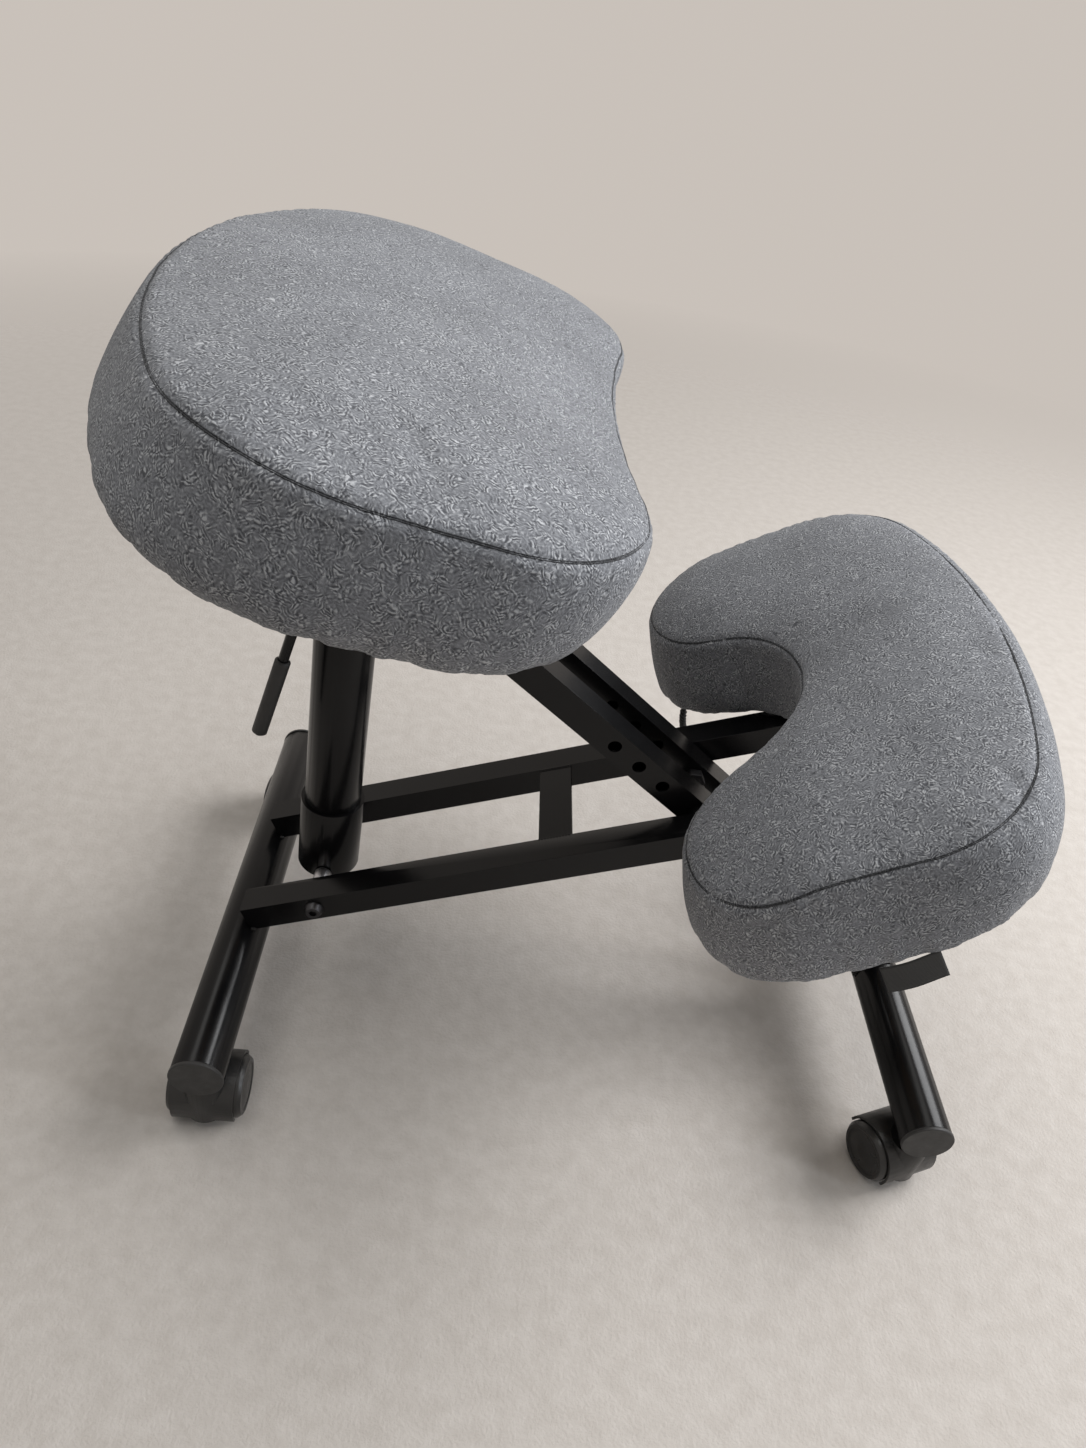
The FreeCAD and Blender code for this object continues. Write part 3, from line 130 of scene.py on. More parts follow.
def seat_outline():
    width, rear, front = 0.492, 0.137, 0.150
    big, corner, lobe, spread, dent_depth = 0.400, 0.126, 0.092, 0.148, 0.014
    back = (big - rear, 0)
    corner_y = width / 2 - corner
    corner_at = (back[0] - math.sqrt((big - corner) ** 2 - corner_y**2), corner_y)
    lobe_at = (front + dent_depth - lobe, spread)
    gap = front - lobe
    dent_x = (lobe_at[0] ** 2 + lobe_at[1] ** 2 - gap**2) / (2 * (lobe_at[0] - gap))
    dent = dent_x - front
    rear_angle = math.atan2(corner_y, corner_at[0] - back[0])
    apart = (lobe_at[0] - corner_at[0], lobe_at[1] - corner_y)
    side_angle = math.atan2(apart[1], apart[0]) + math.acos((corner - lobe) / math.hypot(*apart))
    lobe_angle = math.atan2(-lobe_at[1], dent_x - lobe_at[0])
    inward = (-math.cos(side_angle), -math.sin(side_angle))
    half = on_arc((dent_x, 0), dent, math.pi, lobe_angle + math.pi, hollow=True)
    half += on_arc(lobe_at, lobe, lobe_angle, side_angle)
    half += on_line(
        polar(lobe_at, lobe, side_angle), polar(corner_at, corner, side_angle), inward
    )
    half += on_arc(corner_at, corner, side_angle, rear_angle)
    half += on_arc(back, big, rear_angle, math.pi)
    return Outline(half + mirrored(half))


def knee_outline():
    half_width, front, rear = 0.221, 0.138, 0.121
    big, corner, notch_depth, notch = 0.565, 0.090, 0.008, 0.080
    flare = math.radians(25)
    front_at = (front - big, 0)
    corner_y = half_width - corner
    corner_at = (front_at[0] + math.sqrt((big - corner) ** 2 - corner_y**2), corner_y)
    front_angle = math.atan2(corner_y, corner_at[0] - front_at[0])
    notch_at = (-notch_depth - notch, 0)
    square = math.pi / 2
    notch_angle = square - flare
    normal = (math.cos(notch_angle), math.sin(notch_angle))
    turn = polar(notch_at, notch, notch_angle)
    spare = normal[1] * (half_width - turn[1]) - normal[0] * (rear + turn[0])
    end = spare / (1 + normal[1] - normal[0])
    end_at = (end - rear, half_width - end)
    end_angle = math.pi + notch_angle
    half = on_arc(front_at, big, 0, front_angle)
    half += on_arc(corner_at, corner, front_angle, square)
    half += on_line(polar(corner_at, corner, square), polar(end_at, end, square), (0, -1))
    half += on_arc(end_at, end, square, end_angle)
    half += on_line(polar(end_at, end, end_angle), turn, normal)
    half += on_arc(notch_at, notch, notch_angle, 0, hollow=True)
    outline = Outline(half + mirrored(half))
    away = np.linalg.norm(outline.points - np.array(notch_at), axis=1)
    outline.hollow = (away < notch + 0.001) & (outline.points[:, 0] > turn[0] - 0.001)
    return outline


# Mesh helpers


def link(name, mesh, material=None):
    """A new smooth object in the scene from a mesh."""
    piece = bpy.data.objects.new(name, mesh)
    bpy.context.scene.collection.objects.link(piece)
    if material:
        mesh.materials.append(material)
    mesh.polygons.foreach_set("use_smooth", [True] * len(mesh.polygons))
    return piece


def applied(piece):
    """Bake an object's modifiers into a mesh of its own."""
    depsgraph = bpy.context.evaluated_depsgraph_get()
    mesh = bpy.data.meshes.new_from_object(piece.evaluated_get(depsgraph))
    piece.modifiers.clear()
    piece.data = mesh
    return piece


def cleaned(mesh, merge=False, face_out=True):
    """Merge doubled points and turn the faces outwards."""
    work = bmesh.new()
    work.from_mesh(mesh)
    if merge:
        bmesh.ops.remove_doubles(work, verts=work.verts, dist=1e-6)
    if face_out:
        bmesh.ops.recalc_face_normals(work, faces=work.faces)
    work.to_mesh(mesh)
    work.free()
    return mesh


def rings_to_mesh(name, rings, close_ends=True):
    """Skin a list of closed rings with the same number of points."""
    count = len(rings[0])
    points = [tuple(point) for ring in rings for point in ring]
    faces = []
    for i in range(len(rings) - 1):
        for j in range(count):
            k = (j + 1) % count
            faces.append((i * count + j, i * count + k, (i + 1) * count + k, (i + 1) * count + j))
    if close_ends:
        faces.append(tuple(reversed(range(count))))
        faces.append(tuple(range((len(rings) - 1) * count, len(rings) * count)))
    mesh = bpy.data.meshes.new(name)
    mesh.from_pydata(points, [], faces)
    work = bmesh.new()
    work.from_mesh(mesh)
    caps = [face for face in work.faces if len(face.verts) > 4]
    bmesh.ops.triangulate(work, faces=caps)
    bmesh.ops.recalc_face_normals(work, faces=work.faces)
    work.to_mesh(mesh)
    work.free()
    return mesh


def tube(name, path, radius, material, closed=False, sides=10, ripple=0.0, pitch=0.0025):
    """Round tube along points, with an optional ripple such as a weld's or a twisted cord's."""
    path = [Vector(point) for point in path]
    count = len(path)
    rings = []
    run = 0.0
    side = None
    for i, point in enumerate(path):
        before = path[i - 1] if closed or i else point
        after = path[(i + 1) % count] if closed or i < count - 1 else point
        along = (after - before).normalized()
        if side is None:
            side = along.orthogonal().normalized()
        side = (side - along * side.dot(along)).normalized()
        other = along.cross(side)
        if i:
            run += (point - path[i - 1]).length
        fat = radius * (1 + ripple * math.sin(math.tau * run / pitch))
        if not closed and i in (0, count - 1):
            fat *= 0.5
        ring = []
        for j in range(sides):
            angle = math.tau * j / sides
            ring.append(point + (side * math.cos(angle) + other * math.sin(angle)) * fat)
        rings.append(ring)
    if closed:
        rings.append(rings[0])
    mesh = rings_to_mesh(name, rings, close_ends=not closed)
    if closed:
        cleaned(mesh, merge=True, face_out=False)
    return link(name, mesh, material)


# Materials


class Shader:
    """A node material that is filled in step by step."""

    def __init__(self, name, **surface):
        self.material = bpy.data.materials.new(name)
        self.material.use_nodes = True
        self.tree = self.material.node_tree
        self.surface = self.tree.nodes["Principled BSDF"]
        for socket, value in surface.items():
            self.surface.inputs[socket.replace("_", " ")].default_value = value
        self.place = self.add("ShaderNodeTexCoord").outputs["Object"]

    def add(self, kind, inputs=None, **settings):
        node = self.tree.nodes.new(kind)
        for setting, value in settings.items():
            setattr(node, setting, value)
        for socket, value in (inputs or {}).items():
            if isinstance(value, bpy.types.NodeSocket):
                self.tree.links.new(value, node.inputs[socket])
            else:
                node.inputs[socket].default_value = value
        return node

    def stretched(self, scale):
        mapping = self.add("ShaderNodeMapping", {"Vector": self.place, "Scale": scale})
        return mapping.outputs["Vector"]

    def noise(self, scale, detail=2.0, rough=0.5, place=None, warp=0.0):
        node = self.add(
            "ShaderNodeTexNoise",
            {
                "Vector": place or self.place,
                "Scale": scale,
                "Detail": detail,
                "Roughness": rough,
                "Distortion": warp,
            },
        )
        return node.outputs["Fac"]

    def ramp(self, value, low, high, start=0.0, stop=1.0):
        node = self.add(
            "ShaderNodeMapRange",
            {"Value": value, "From Min": low, "From Max": high, "To Min": start, "To Max": stop},
        )
        return node.outputs["Result"]

    def math(self, operation, first, second):
        node = self.add("ShaderNodeMath", {0: first, 1: second}, operation=operation)
        return node.outputs[0]

    def colours(self, value, *stops):
        node = self.add("ShaderNodeValToRGB", {"Fac": value})
        ramp = node.color_ramp
        while len(ramp.elements) < len(stops):
            ramp.elements.new(0.5)
        for element, (position, colour) in zip(ramp.elements, stops):
            element.position = position
            element.color = (*colour, 1)
        return node.outputs["Color"]

    def mix(self, factor, first, second, blend="MIX"):
        node = self.add("ShaderNodeMix", data_type="RGBA", blend_type=blend)
        for index, value in ((0, factor), (6, first), (7, second)):
            if isinstance(value, bpy.types.NodeSocket):
                self.tree.links.new(value, node.inputs[index])
            else:
                node.inputs[index].default_value = value if index == 0 else (*value, 1)
        return node.outputs[2]

    def colour(self, output):
        self.tree.links.new(output, self.surface.inputs["Base Color"])

    def rough(self, output):
        self.tree.links.new(output, self.surface.inputs["Roughness"])

    def bump(self, height, distance, strength=1.0):
        node = self.add(
            "ShaderNodeBump", {"Height": height, "Distance": distance, "Strength": strength}
        )
        self.tree.links.new(node.outputs["Normal"], self.surface.inputs["Normal"])


def grey(value):
    return (value, value, value)


def make_cover_fabric(name="cover_fabric", shade=1.0):
    """Heathered grey cloth: patches of short strands lying this way and that."""
    shader = Shader(name, Roughness=0.9, Sheen_Weight=0.15, Sheen_Roughness=0.45)
    shader.surface.inputs["Specular IOR Level"].default_value = 0.2

    def vector(operation, first, second=None, scale=None):
        node = shader.add("ShaderNodeVectorMath", {0: first}, operation=operation)
        if second is not None:
            if isinstance(second, bpy.types.NodeSocket):
                shader.tree.links.new(second, node.inputs[1])
            else:
                node.inputs[1].default_value = second
        if scale is not None:
            node.inputs["Scale"].default_value = scale
        return node

    drift = shader.add(
        "ShaderNodeTexNoise", {"Vector": shader.place, "Scale": 240.0, "Detail": 1.0}
    )
    drift = vector("SCALE", drift.outputs["Color"], scale=0.0035).outputs[0]
    bent = vector("ADD", shader.place, drift).outputs[0]
    strands = None
    for patches, pitch in ((210.0, 0.0016), (300.0, 0.0022)):
        patch = shader.add("ShaderNodeTexVoronoi", {"Vector": bent, "Scale": patches})
        lie = vector("SUBTRACT", patch.outputs["Color"], (0.5, 0.5, 0.5)).outputs[0]
        lie = vector("NORMALIZE", lie).outputs[0]
        run = vector("DOT_PRODUCT", bent, lie).outputs["Value"]
        wave = shader.math("SINE", shader.math("MULTIPLY", run, math.tau / pitch), 0.0)
        strands = shader.math("ADD", strands, wave) if strands else wave
    worn = shader.ramp(shader.noise(190, 2, 0.5), 0.38, 0.62, 0.25, 1.0)
    strands = shader.ramp(shader.math("MULTIPLY", strands, worn), -1.7, 1.7, 0, 0.6)
    speckle = shader.noise(560, 3, 0.65)
    tone = shader.math("ADD", strands, shader.math("MULTIPLY", speckle, 0.4))
    # shade scales every colour of the cloth: 1.0 leaves the cover as it is, a lower value paints
    # shade, as on the seam.
    ground = shader.colours(
        tone,
        (0.26, tuple(shade * c for c in (0.095, 0.098, 0.108))),
        (0.44, tuple(shade * c for c in (0.190, 0.195, 0.210))),
        (0.58, tuple(shade * c for c in (0.285, 0.292, 0.310))),
        (0.76, tuple(shade * c for c in (0.540, 0.548, 0.565))),
    )
    cloudy = shader.ramp(shader.noise(14, 3, 0.5), 0.3, 0.7, 0.9, 1.1)
    cloud = shader.add("ShaderNodeCombineColor", {0: cloudy, 1: cloudy, 2: cloudy}).outputs[0]
    shader.colour(shader.mix(1.0, ground, cloud, "MULTIPLY"))
    shader.bump(tone, 0.0006, 0.9)
    return shader.material


def make_powder_coat():
    """Satin black powder coat with a fine orange peel and faint handling marks."""
    shader = Shader("powder_coat", Roughness=0.27)
    shader.surface.inputs["Specular IOR Level"].default_value = 0.24
    shader.colour(
        shader.colours(
            shader.noise(30, 4, 0.6),
            (0.35, (0.0035, 0.0035, 0.004)),
            (0.7, (0.0060, 0.0060, 0.0066)),
        )
    )
    marks = shader.noise(1, 4, 0.7, shader.stretched((40, 300, 300)))
    shader.rough(shader.ramp(marks, 0.3, 0.75, 0.20, 0.27))
    peel = shader.noise(500, 2, 0.5)
    shader.bump(peel, 0.00003, 0.08)
    return shader.material


def make_plastic(name, level, rough):
    """Moulded black plastic with a fine spark-eroded grain."""
    shader = Shader(name, Roughness=rough)
    shader.colour(
        shader.colours(
            shader.noise(45, 3, 0.6), (0.3, grey(level * 0.8)), (0.7, grey(level * 1.25))
        )
    )
    shader.rough(shader.ramp(shader.noise(110, 3, 0.6), 0.3, 0.7, rough - 0.06, rough + 0.08))
    grain, depth = 1600, 0.0002
    shader.bump(shader.noise(grain, 2, 0.5), depth, 0.4)
    return shader.material


def make_steel(name, colour, rough):
    """Plated steel with fine drawn lines."""
    shader = Shader(name, Metallic=1.0, Roughness=rough)
    lines = shader.noise(1, 3, 0.6, shader.stretched((900, 900, 900)))
    shader.colour(
        shader.colours(
            shader.noise(60, 4, 0.6),
            (0.3, tuple(c * 0.82 for c in colour)),
            (0.7, tuple(min(1.0, c * 1.1) for c in colour)),
        )
    )
    shader.rough(shader.ramp(lines, 0.3, 0.7, rough - 0.08, rough + 0.1))
    shader.bump(lines, 0.0001, 0.25)
    return shader.material


def make_plywood():
    """Birch ply with a long face grain."""
    shader = Shader("plywood", Roughness=0.7)
    grain = shader.noise(1, 5, 0.65, shader.stretched((14, 160, 60)), warp=1.2)
    face = shader.colours(
        grain, (0.3, (0.33, 0.21, 0.11)), (0.55, (0.50, 0.35, 0.20)), (0.75, (0.60, 0.45, 0.28))
    )
    shader.colour(face)
    shader.bump(grain, 0.0004, 0.5)
    return shader.material


def make_cord_braid():
    """Black braided cord."""
    shader = Shader("cord_braid", Roughness=0.85, Sheen_Weight=0.3)
    strands = shader.add(
        "ShaderNodeTexVoronoi", {"Vector": shader.place, "Scale": 1300.0}
    ).outputs["Distance"]
    shader.colour(shader.colours(strands, (0.1, grey(0.03)), (0.7, grey(0.009))))
    shader.bump(shader.math("SUBTRACT", 1.0, strands), 0.0004, 0.8)
    return shader.material


def make_label_cloth():
    """Black satin-woven label with a fine rib."""
    shader = Shader("label_cloth", Roughness=0.6, Sheen_Weight=0.2)
    rib = shader.add(
        "ShaderNodeTexWave",
        {"Vector": shader.place, "Scale": 380.0, "Distortion": 0.4},
        bands_direction="Z",
    ).outputs["Fac"]
    shader.colour(shader.colours(rib, (0.2, grey(0.010)), (0.9, grey(0.022))))
    shader.bump(rib, 0.0003, 0.6)
    return shader.material


COVER = make_cover_fabric()
# Cover cloth darkened to a quarter for the seam piece: painted shade of the seam's groove.
SEAM_PAINTED_SHADE = make_cover_fabric("seam_painted_shade_fabric", 0.25)
POWDER = make_powder_coat()
PLASTIC = make_plastic("moulded_black", 0.018, 0.52)
CASTER_PLASTIC = make_plastic("caster_black", 0.012, 0.36)
WHEEL_PLASTIC = make_plastic("wheel_black", 0.014, 0.32)
HARDWARE = make_steel("black_hardware", (0.07, 0.07, 0.075), 0.38)
ZINC = make_steel("zinc_plate", (0.55, 0.55, 0.57), 0.32)
CHROME = make_steel("polished_rod", (0.62, 0.62, 0.64), 0.12)
PLYWOOD = make_plywood()
BRAID = make_cord_braid()
LABEL = make_label_cloth()

SLOT_MATERIALS = {
    "black_steel": POWDER,
    "black_plastic": PLASTIC,
    "caster_plastic": CASTER_PLASTIC,
    "wheel_nylon": WHEEL_PLASTIC,
    "plywood": PLYWOOD,
    "dark_hardware": HARDWARE,
    "zinc_steel": ZINC,
    "cylinder_steel": CHROME,
}


# Rounding of outer edges in millimetres, by material; other materials take the plain one
EDGE_ROUNDS = {"black_steel": 1.2, "black_plastic": 0.6, "caster_plastic": 0.8, "wheel_nylon": 0.6}
PLAIN_ROUND = 0.5
MERGE = 2e-6


def dress_cad_nodes():
    """Give each CAD node its material and slightly rounded edges."""
    for entry in frame["record"]["subparts"]:
        material = SLOT_MATERIALS.get(entry["material_slot"])
        node = nodes[entry["node"]]
        if material is None:
            continue
        for slot in node.material_slots:
            slot.material = material
        weld = node.modifiers.new("weld", "WELD")
        weld.merge_threshold = MERGE
        bevel = node.modifiers.new("bevel", "BEVEL")
        bevel.width = EDGE_ROUNDS.get(entry["material_slot"], PLAIN_ROUND) * MM
        bevel.segments = 2
        bevel.limit_method = "ANGLE"
        bevel.angle_limit = math.radians(40)
        bevel.harden_normals = True


dress_cad_nodes()


# Cushions


SWELL = 0.004  # left to the simulation when the rings are laid
SWELL_CAP = 0.008  # the furthest that the simulation may move the cloth
VOXEL = 0.0045
HELD_BY_SEAM = 0.006
HELD_BY_HEM = 0.005
SIMULATED_FRAMES = 20

SEAM_SINK = 0.0016
GROOVE_WIDTH = 0.0034
PUCKER_REACH, PUCKER_FADE = 0.035, 0.010
PUCKER_PITCH, PUCKER_DEPTH = 0.0135, 0.0010
# Section of the sewn seam in millimetres: two rolled edges with the stitched valley between
SEAM_SECTION = (
    (-1.3, -1.0), (-0.9, 0.0), (-0.55, 0.3), (-0.2, 0.1),
    (0.0, -0.6), (0.2, 0.1), (0.55, 0.3), (0.9, 0.0), (1.3, -1.0),
)
SEAM_STEP = 0.0008
STITCH = 0.0034
SIDE_GATHERS = (0.031, 0.012)  # pitches of the gathers low on the side
HEM_GATHERS = (0.0165, 0.0071)  # pitches of the gathers on the turned-under edge
UNEVEN_CLOTH = 0.0006


class Pad:
    """Sizes of one cushion, in metres, in its own frame."""

    def __init__(self, name, body, outline, place, **sizes):
        self.name = name
        self.body = body
        self.outline = outline
        self.place = place
        self.side = sizes["side"]
        self.low = sizes["low"]
        self.crown = sizes["crown"]
        self.bulge = sizes["bulge"]
        self.tuck = sizes["tuck"]
        self.lean = sizes["lean"]
        self.hollow_share = sizes.get("hollow_share", 1.0)
        self.reach = sizes["reach"]
        self.creases = sizes["creases"]
        self.hem = sizes["hem"]
        self.sag = sizes["sag"]
        self.front = sizes["front"]
        self.turned_in = sizes["turned_in"]
        self.casing = sizes["casing"]

    def inset_at(self, depth, swell=0.0):
        """How far the side is set in at a depth below the seam: full low down, then tucked."""
        bulge = self.bulge - swell
        if depth <= self.low:
            return -bulge * math.sin(depth / self.low * math.pi / 2)
        share = (depth - self.low) / (self.side - self.low)
        return (bulge + self.tuck) * share**3 - bulge

    def ring_at(self, depth, swell=0.0, extra=0.0):
        share = min(depth, self.side) / self.side
        inset = self.inset_at(share * self.side, swell) + extra
        fullness, first, last = self.front
        front = (fullness * math.sin(math.pi * share**0.7), first, last)
        lean = -self.lean * depth / self.side
        return self.outline.ring(inset, -depth, lean, self.hollow_share, front)

    def sagged(self, points):
        """Let the seam and the cloth beside it droop towards the loose ends of the pad."""
        points = np.array(points)
        depth, first, span, other_side = self.sag
        pull = ease((first - points[:, 0]) / span)
        near = np.clip(1 + points[:, 2] / (0.7 * self.side), 0, 1)
        toward = np.clip(0.5 - points[:, 1] / 0.16, 0, 1)
        side = other_side + (1 - other_side) * toward * toward * (3 - 2 * toward)
        points[:, 2] -= depth * pull * near * side
        return points


def pad_rings(pad, swell):
    """Rings from hem to crown, held back by the swell that the simulation adds."""
    rings = []
    for depth in np.linspace(pad.side - 0.002, 0, 24):
        rings.append(pad.sagged(pad.ring_at(depth, swell)))
    crown = pad.crown - swell * 0.6
    for share in np.linspace(0.06, 1, 16):
        height = crown * (1 - (1 - share) ** 2.2)
        rings.append(pad.sagged(pad.outline.ring(pad.reach * share, height)))
    return rings


def simulate(piece, held, cap):
    """Blow the cover up like a filled cushion, with the held points fixed."""
    group = piece.vertex_groups.new(name="sewn")
    group.add(held, 1.0, "REPLACE")
    rest = np.empty(len(piece.data.vertices) * 3)
    piece.data.vertices.foreach_get("co", rest)
    cloth = piece.modifiers.new("cloth", "CLOTH")
    settings = cloth.settings
    settings.quality = 6
    settings.mass = 0.3
    settings.tension_stiffness = 12
    settings.compression_stiffness = 12
    settings.shear_stiffness = 5
    settings.bending_stiffness = 0.4
    settings.use_pressure = True
    settings.uniform_pressure_force = 4
    settings.vertex_group_mass = "sewn"
    settings.effector_weights.gravity = 0
    cloth.collision_settings.use_self_collision = False
    cloth.point_cache.frame_start = 1
    cloth.point_cache.frame_end = SIMULATED_FRAMES
    scene = bpy.context.scene
    for step in range(1, SIMULATED_FRAMES + 1):
        scene.frame_set(step)
    applied(piece)
    moved = np.empty_like(rest)
    piece.data.vertices.foreach_get("co", moved)
    scene.frame_set(1)
    shift = (moved - rest).reshape(-1, 3)
    length = np.linalg.norm(shift, axis=1)
    scale = np.minimum(1, cap / np.maximum(length, 1e-9))
    piece.data.vertices.foreach_set("co", (rest.reshape(-1, 3) + shift * scale[:, None]).ravel())
    piece.vertex_groups.clear()


def remesh(piece, voxel):
    modifier = piece.modifiers.new("remesh", "REMESH")
    modifier.mode = "VOXEL"
    modifier.voxel_size = voxel
    modifier.use_smooth_shade = True
    relax = piece.modifiers.new("relax", "SMOOTH")
    relax.factor = 0.5
    relax.iterations = 3
    applied(piece)


def coordinates(mesh):
    points = np.empty(len(mesh.vertices) * 3)
    mesh.vertices.foreach_get("co", points)
    return points.reshape(-1, 3)


def directions(mesh):
    normals = np.empty(len(mesh.vertices) * 3)
    mesh.vertices.foreach_get("normal", normals)
    return normals.reshape(-1, 3)


def near_path(points, path, reach):
    """For each point within reach of the path: its index, nearest sample and distance."""
    tree = KDTree(len(path))
    for i, point in enumerate(path):
        tree.insert(point, i)
    tree.balance()
    found = []
    for i, point in enumerate(points):
        _, sample, distance = tree.find(point)
        if distance < reach:
            found.append((i, sample, distance))
    return found


def seam_path(piece, pad):
    """Where the top seam runs on the finished surface, and the way out from it."""
    tree = BVHTree.FromObject(piece, bpy.context.evaluated_depsgraph_get())
    seam = pad.sagged(np.column_stack((pad.outline.points, np.zeros(len(pad.outline.points)))))
    path, outward = [], []
    for point, inward in zip(seam, pad.outline.inward):
        outside = Vector((*(point[:2] - inward * 0.03), point[2] + 0.012))
        toward = Vector((*inward, -0.4)).normalized()
        hit, normal = tree.ray_cast(outside, toward)[:2]
        path.append(hit if hit else Vector(point))
        outward.append(normal if hit else Vector((*(-inward), 1)).normalized())
    return path, outward


def sew(piece, pad):
    """Sink the seam, pucker the cloth beside it, gather the hem and press in creases."""
    mesh = piece.data
    points = coordinates(mesh)
    normals = directions(mesh)
    shift = np.zeros(len(points))
    path, outward = seam_path(piece, pad)
    for i, sample, distance in near_path(points, path, PUCKER_REACH):
        along = pad.outline.along[sample]
        uneven = noise.noise((along * 22, 0.3, 0))
        wave = math.sin(math.tau * along / PUCKER_PITCH + 4 * noise.noise((along * 30, 7.1, 0)))
        groove = -SEAM_SINK * math.exp(-((distance / GROOVE_WIDTH) ** 2))
        beside = math.exp(-distance / PUCKER_FADE) * (1 - math.exp(-((distance / 0.004) ** 2)))
        shift[i] += groove + wave * PUCKER_DEPTH * (0.55 + uneven) * beside
    flat = [Vector((*point, 0)) for point in pad.outline.points]
    low = -0.45 * pad.side
    lower = [i for i, point in enumerate(points) if point[2] < low]
    level = [Vector((points[i][0], points[i][1], 0)) for i in lower]
    for k, sample, _ in near_path(level, flat, 0.2):
        i = lower[k]
        along = pad.outline.along[sample]
        down = ease((low - points[i][2]) / (pad.side + low))
        wave = math.sin(math.tau * along / SIDE_GATHERS[0] + 5 * noise.noise((along * 12, 2.7, 0)))
        fine = math.sin(math.tau * along / SIDE_GATHERS[1] + 5 * noise.noise((along * 25, 5.2, 0)))
        shift[i] += down * pad.hem * (0.7 * wave + 0.3 * fine)
    for start, stop, depth, width in pad.creases:
        start, stop = np.array(start), np.array(stop)
        span = stop - start
        length = np.dot(span, span)
        share = np.clip((points - start) @ span / length, 0, 1)
        away = np.linalg.norm(points - (start + share[:, None] * span), axis=1)
        fade = np.sin(np.pi * np.clip(share * 0.9 + 0.05, 0, 1))
        shift -= depth * fade * np.exp(-((away / width) ** 2))
    for i, point in enumerate(points):
        shift[i] += UNEVEN_CLOTH * noise.noise(Vector(point) * 26)
    mesh.vertices.foreach_set("co", (points + normals * shift[:, None]).ravel())
    mesh.update()
    return path, outward


def finer_path(path, step):
    """A closed run of vectors, resampled to small steps."""
    points = np.array([tuple(point) for point in path])
    closed = np.vstack((points, points[:1]))
    along = np.concatenate(([0], np.cumsum(np.linalg.norm(np.diff(closed, axis=0), axis=1))))
    where = np.linspace(0, along[-1], int(along[-1] / step), endpoint=False)
    return where, np.stack([np.interp(where, along, closed[:, i]) for i in range(3)], 1)


def smoothed(values, rounds):
    for _ in range(rounds):
        values = (np.roll(values, 1, 0) + 2 * values + np.roll(values, -1, 0)) / 4
    return values


def make_seam(pad, path, outward):
    """The seam itself, laid along the pad, drawn in at every stitch."""
    path = smoothed(np.array([tuple(point) for point in path]), 2)
    outward = smoothed(np.array([tuple(normal) for normal in outward]), 4)
    where, line = finer_path(path, SEAM_STEP)
    normals = finer_like(outward, len(line))
    ahead = np.roll(line, -1, 0) - np.roll(line, 1, 0)
    across = np.cross(ahead, normals)
    across /= np.linalg.norm(across, axis=1)[:, None]
    normals = np.cross(across, ahead)
    normals /= np.linalg.norm(normals, axis=1)[:, None]
    rings = []
    for i, point in enumerate(line):
        stitch = 0.5 + 0.5 * math.cos(math.tau * where[i] / STITCH)
        loose = noise.noise((where[i] * 60, 1.9, 0))
        ring = []
        for x, y in SEAM_SECTION:
            lift = y * (1 - 0.5 * stitch) + 0.15 * loose if y > 0.1 else y
            pull = x * (1 - 0.22 * stitch)
            offset = across[i] * pull * MM + normals[i] * (lift * MM - SEAM_SINK * 0.75)
            ring.append(tuple(point + offset))
        rings.append(ring)
    wide = len(SEAM_SECTION)
    faces = []
    for i in range(len(rings)):
        k = (i + 1) % len(rings)
        for j in range(wide):
            m = (j + 1) % wide
            faces.append((i * wide + j, k * wide + j, k * wide + m, i * wide + m))
    mesh = bpy.data.meshes.new(f"{pad.name}_seam")
    mesh.from_pydata([point for ring in rings for point in ring], [], faces)
    # The whole seam piece takes the darkened cloth, which is painted shade of its groove.
    seam = link(f"{pad.name}_seam", mesh, SEAM_PAINTED_SHADE)
    seam.matrix_world = pad.place
    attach(seam, pad.body)


def finer_like(values, count):
    """Values around a closed run, resampled to a number of steps."""
    closed = np.vstack((values, values[:1]))
    share = np.linspace(0, len(values), count, endpoint=False)
    return np.stack([np.interp(share, np.arange(len(closed)), closed[:, i]) for i in range(3)], 1)


def make_hem(pad):
    """Edge of the cover drawn in under the board, with the casing of its drawstring."""
    inward = pad.turned_in
    # Depth below the seam and distance in from the edge of the pad
    section = [
        (pad.side - 0.0030, 0.009),
        (pad.side + 0.0004, 0.011),
        (pad.side + 0.0020, inward * 0.50),
        (pad.side + 0.0016, inward - pad.casing * 2.4),
        (pad.side + 0.0010 + pad.casing, inward - pad.casing * 1.6),
        (pad.side + 0.0006 + pad.casing, inward - pad.casing * 0.4),
        (pad.side + 0.0004, inward),
        (pad.side - 0.0012, inward - 0.002),
        (pad.side - 0.0040, inward * 0.6),
    ]
    rings = []
    for depth, inset in section:
        ring = pad.ring_at(depth, extra=inset)
        for i, point in enumerate(ring):
            along = pad.outline.along[i]
            wave = math.sin(math.tau * along / HEM_GATHERS[0] + 4 * noise.noise((along * 18, 3.3, 0)))
            fine = math.sin(math.tau * along / HEM_GATHERS[1] + 4 * noise.noise((along * 35, 6.1, 0)))
            drawn = ease(inset / inward) if depth > pad.side else 0.0
            point[2] -= drawn * pad.casing * 0.30 * (0.6 * wave + 0.4 * fine)
        rings.append(ring)
    rings.append(rings[0])
    mesh = cleaned(rings_to_mesh(f"{pad.name}_hem", rings, close_ends=False), merge=True)
    hem = link(f"{pad.name}_hem", mesh, COVER)
    hem.matrix_world = pad.place
    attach(hem, pad.body)


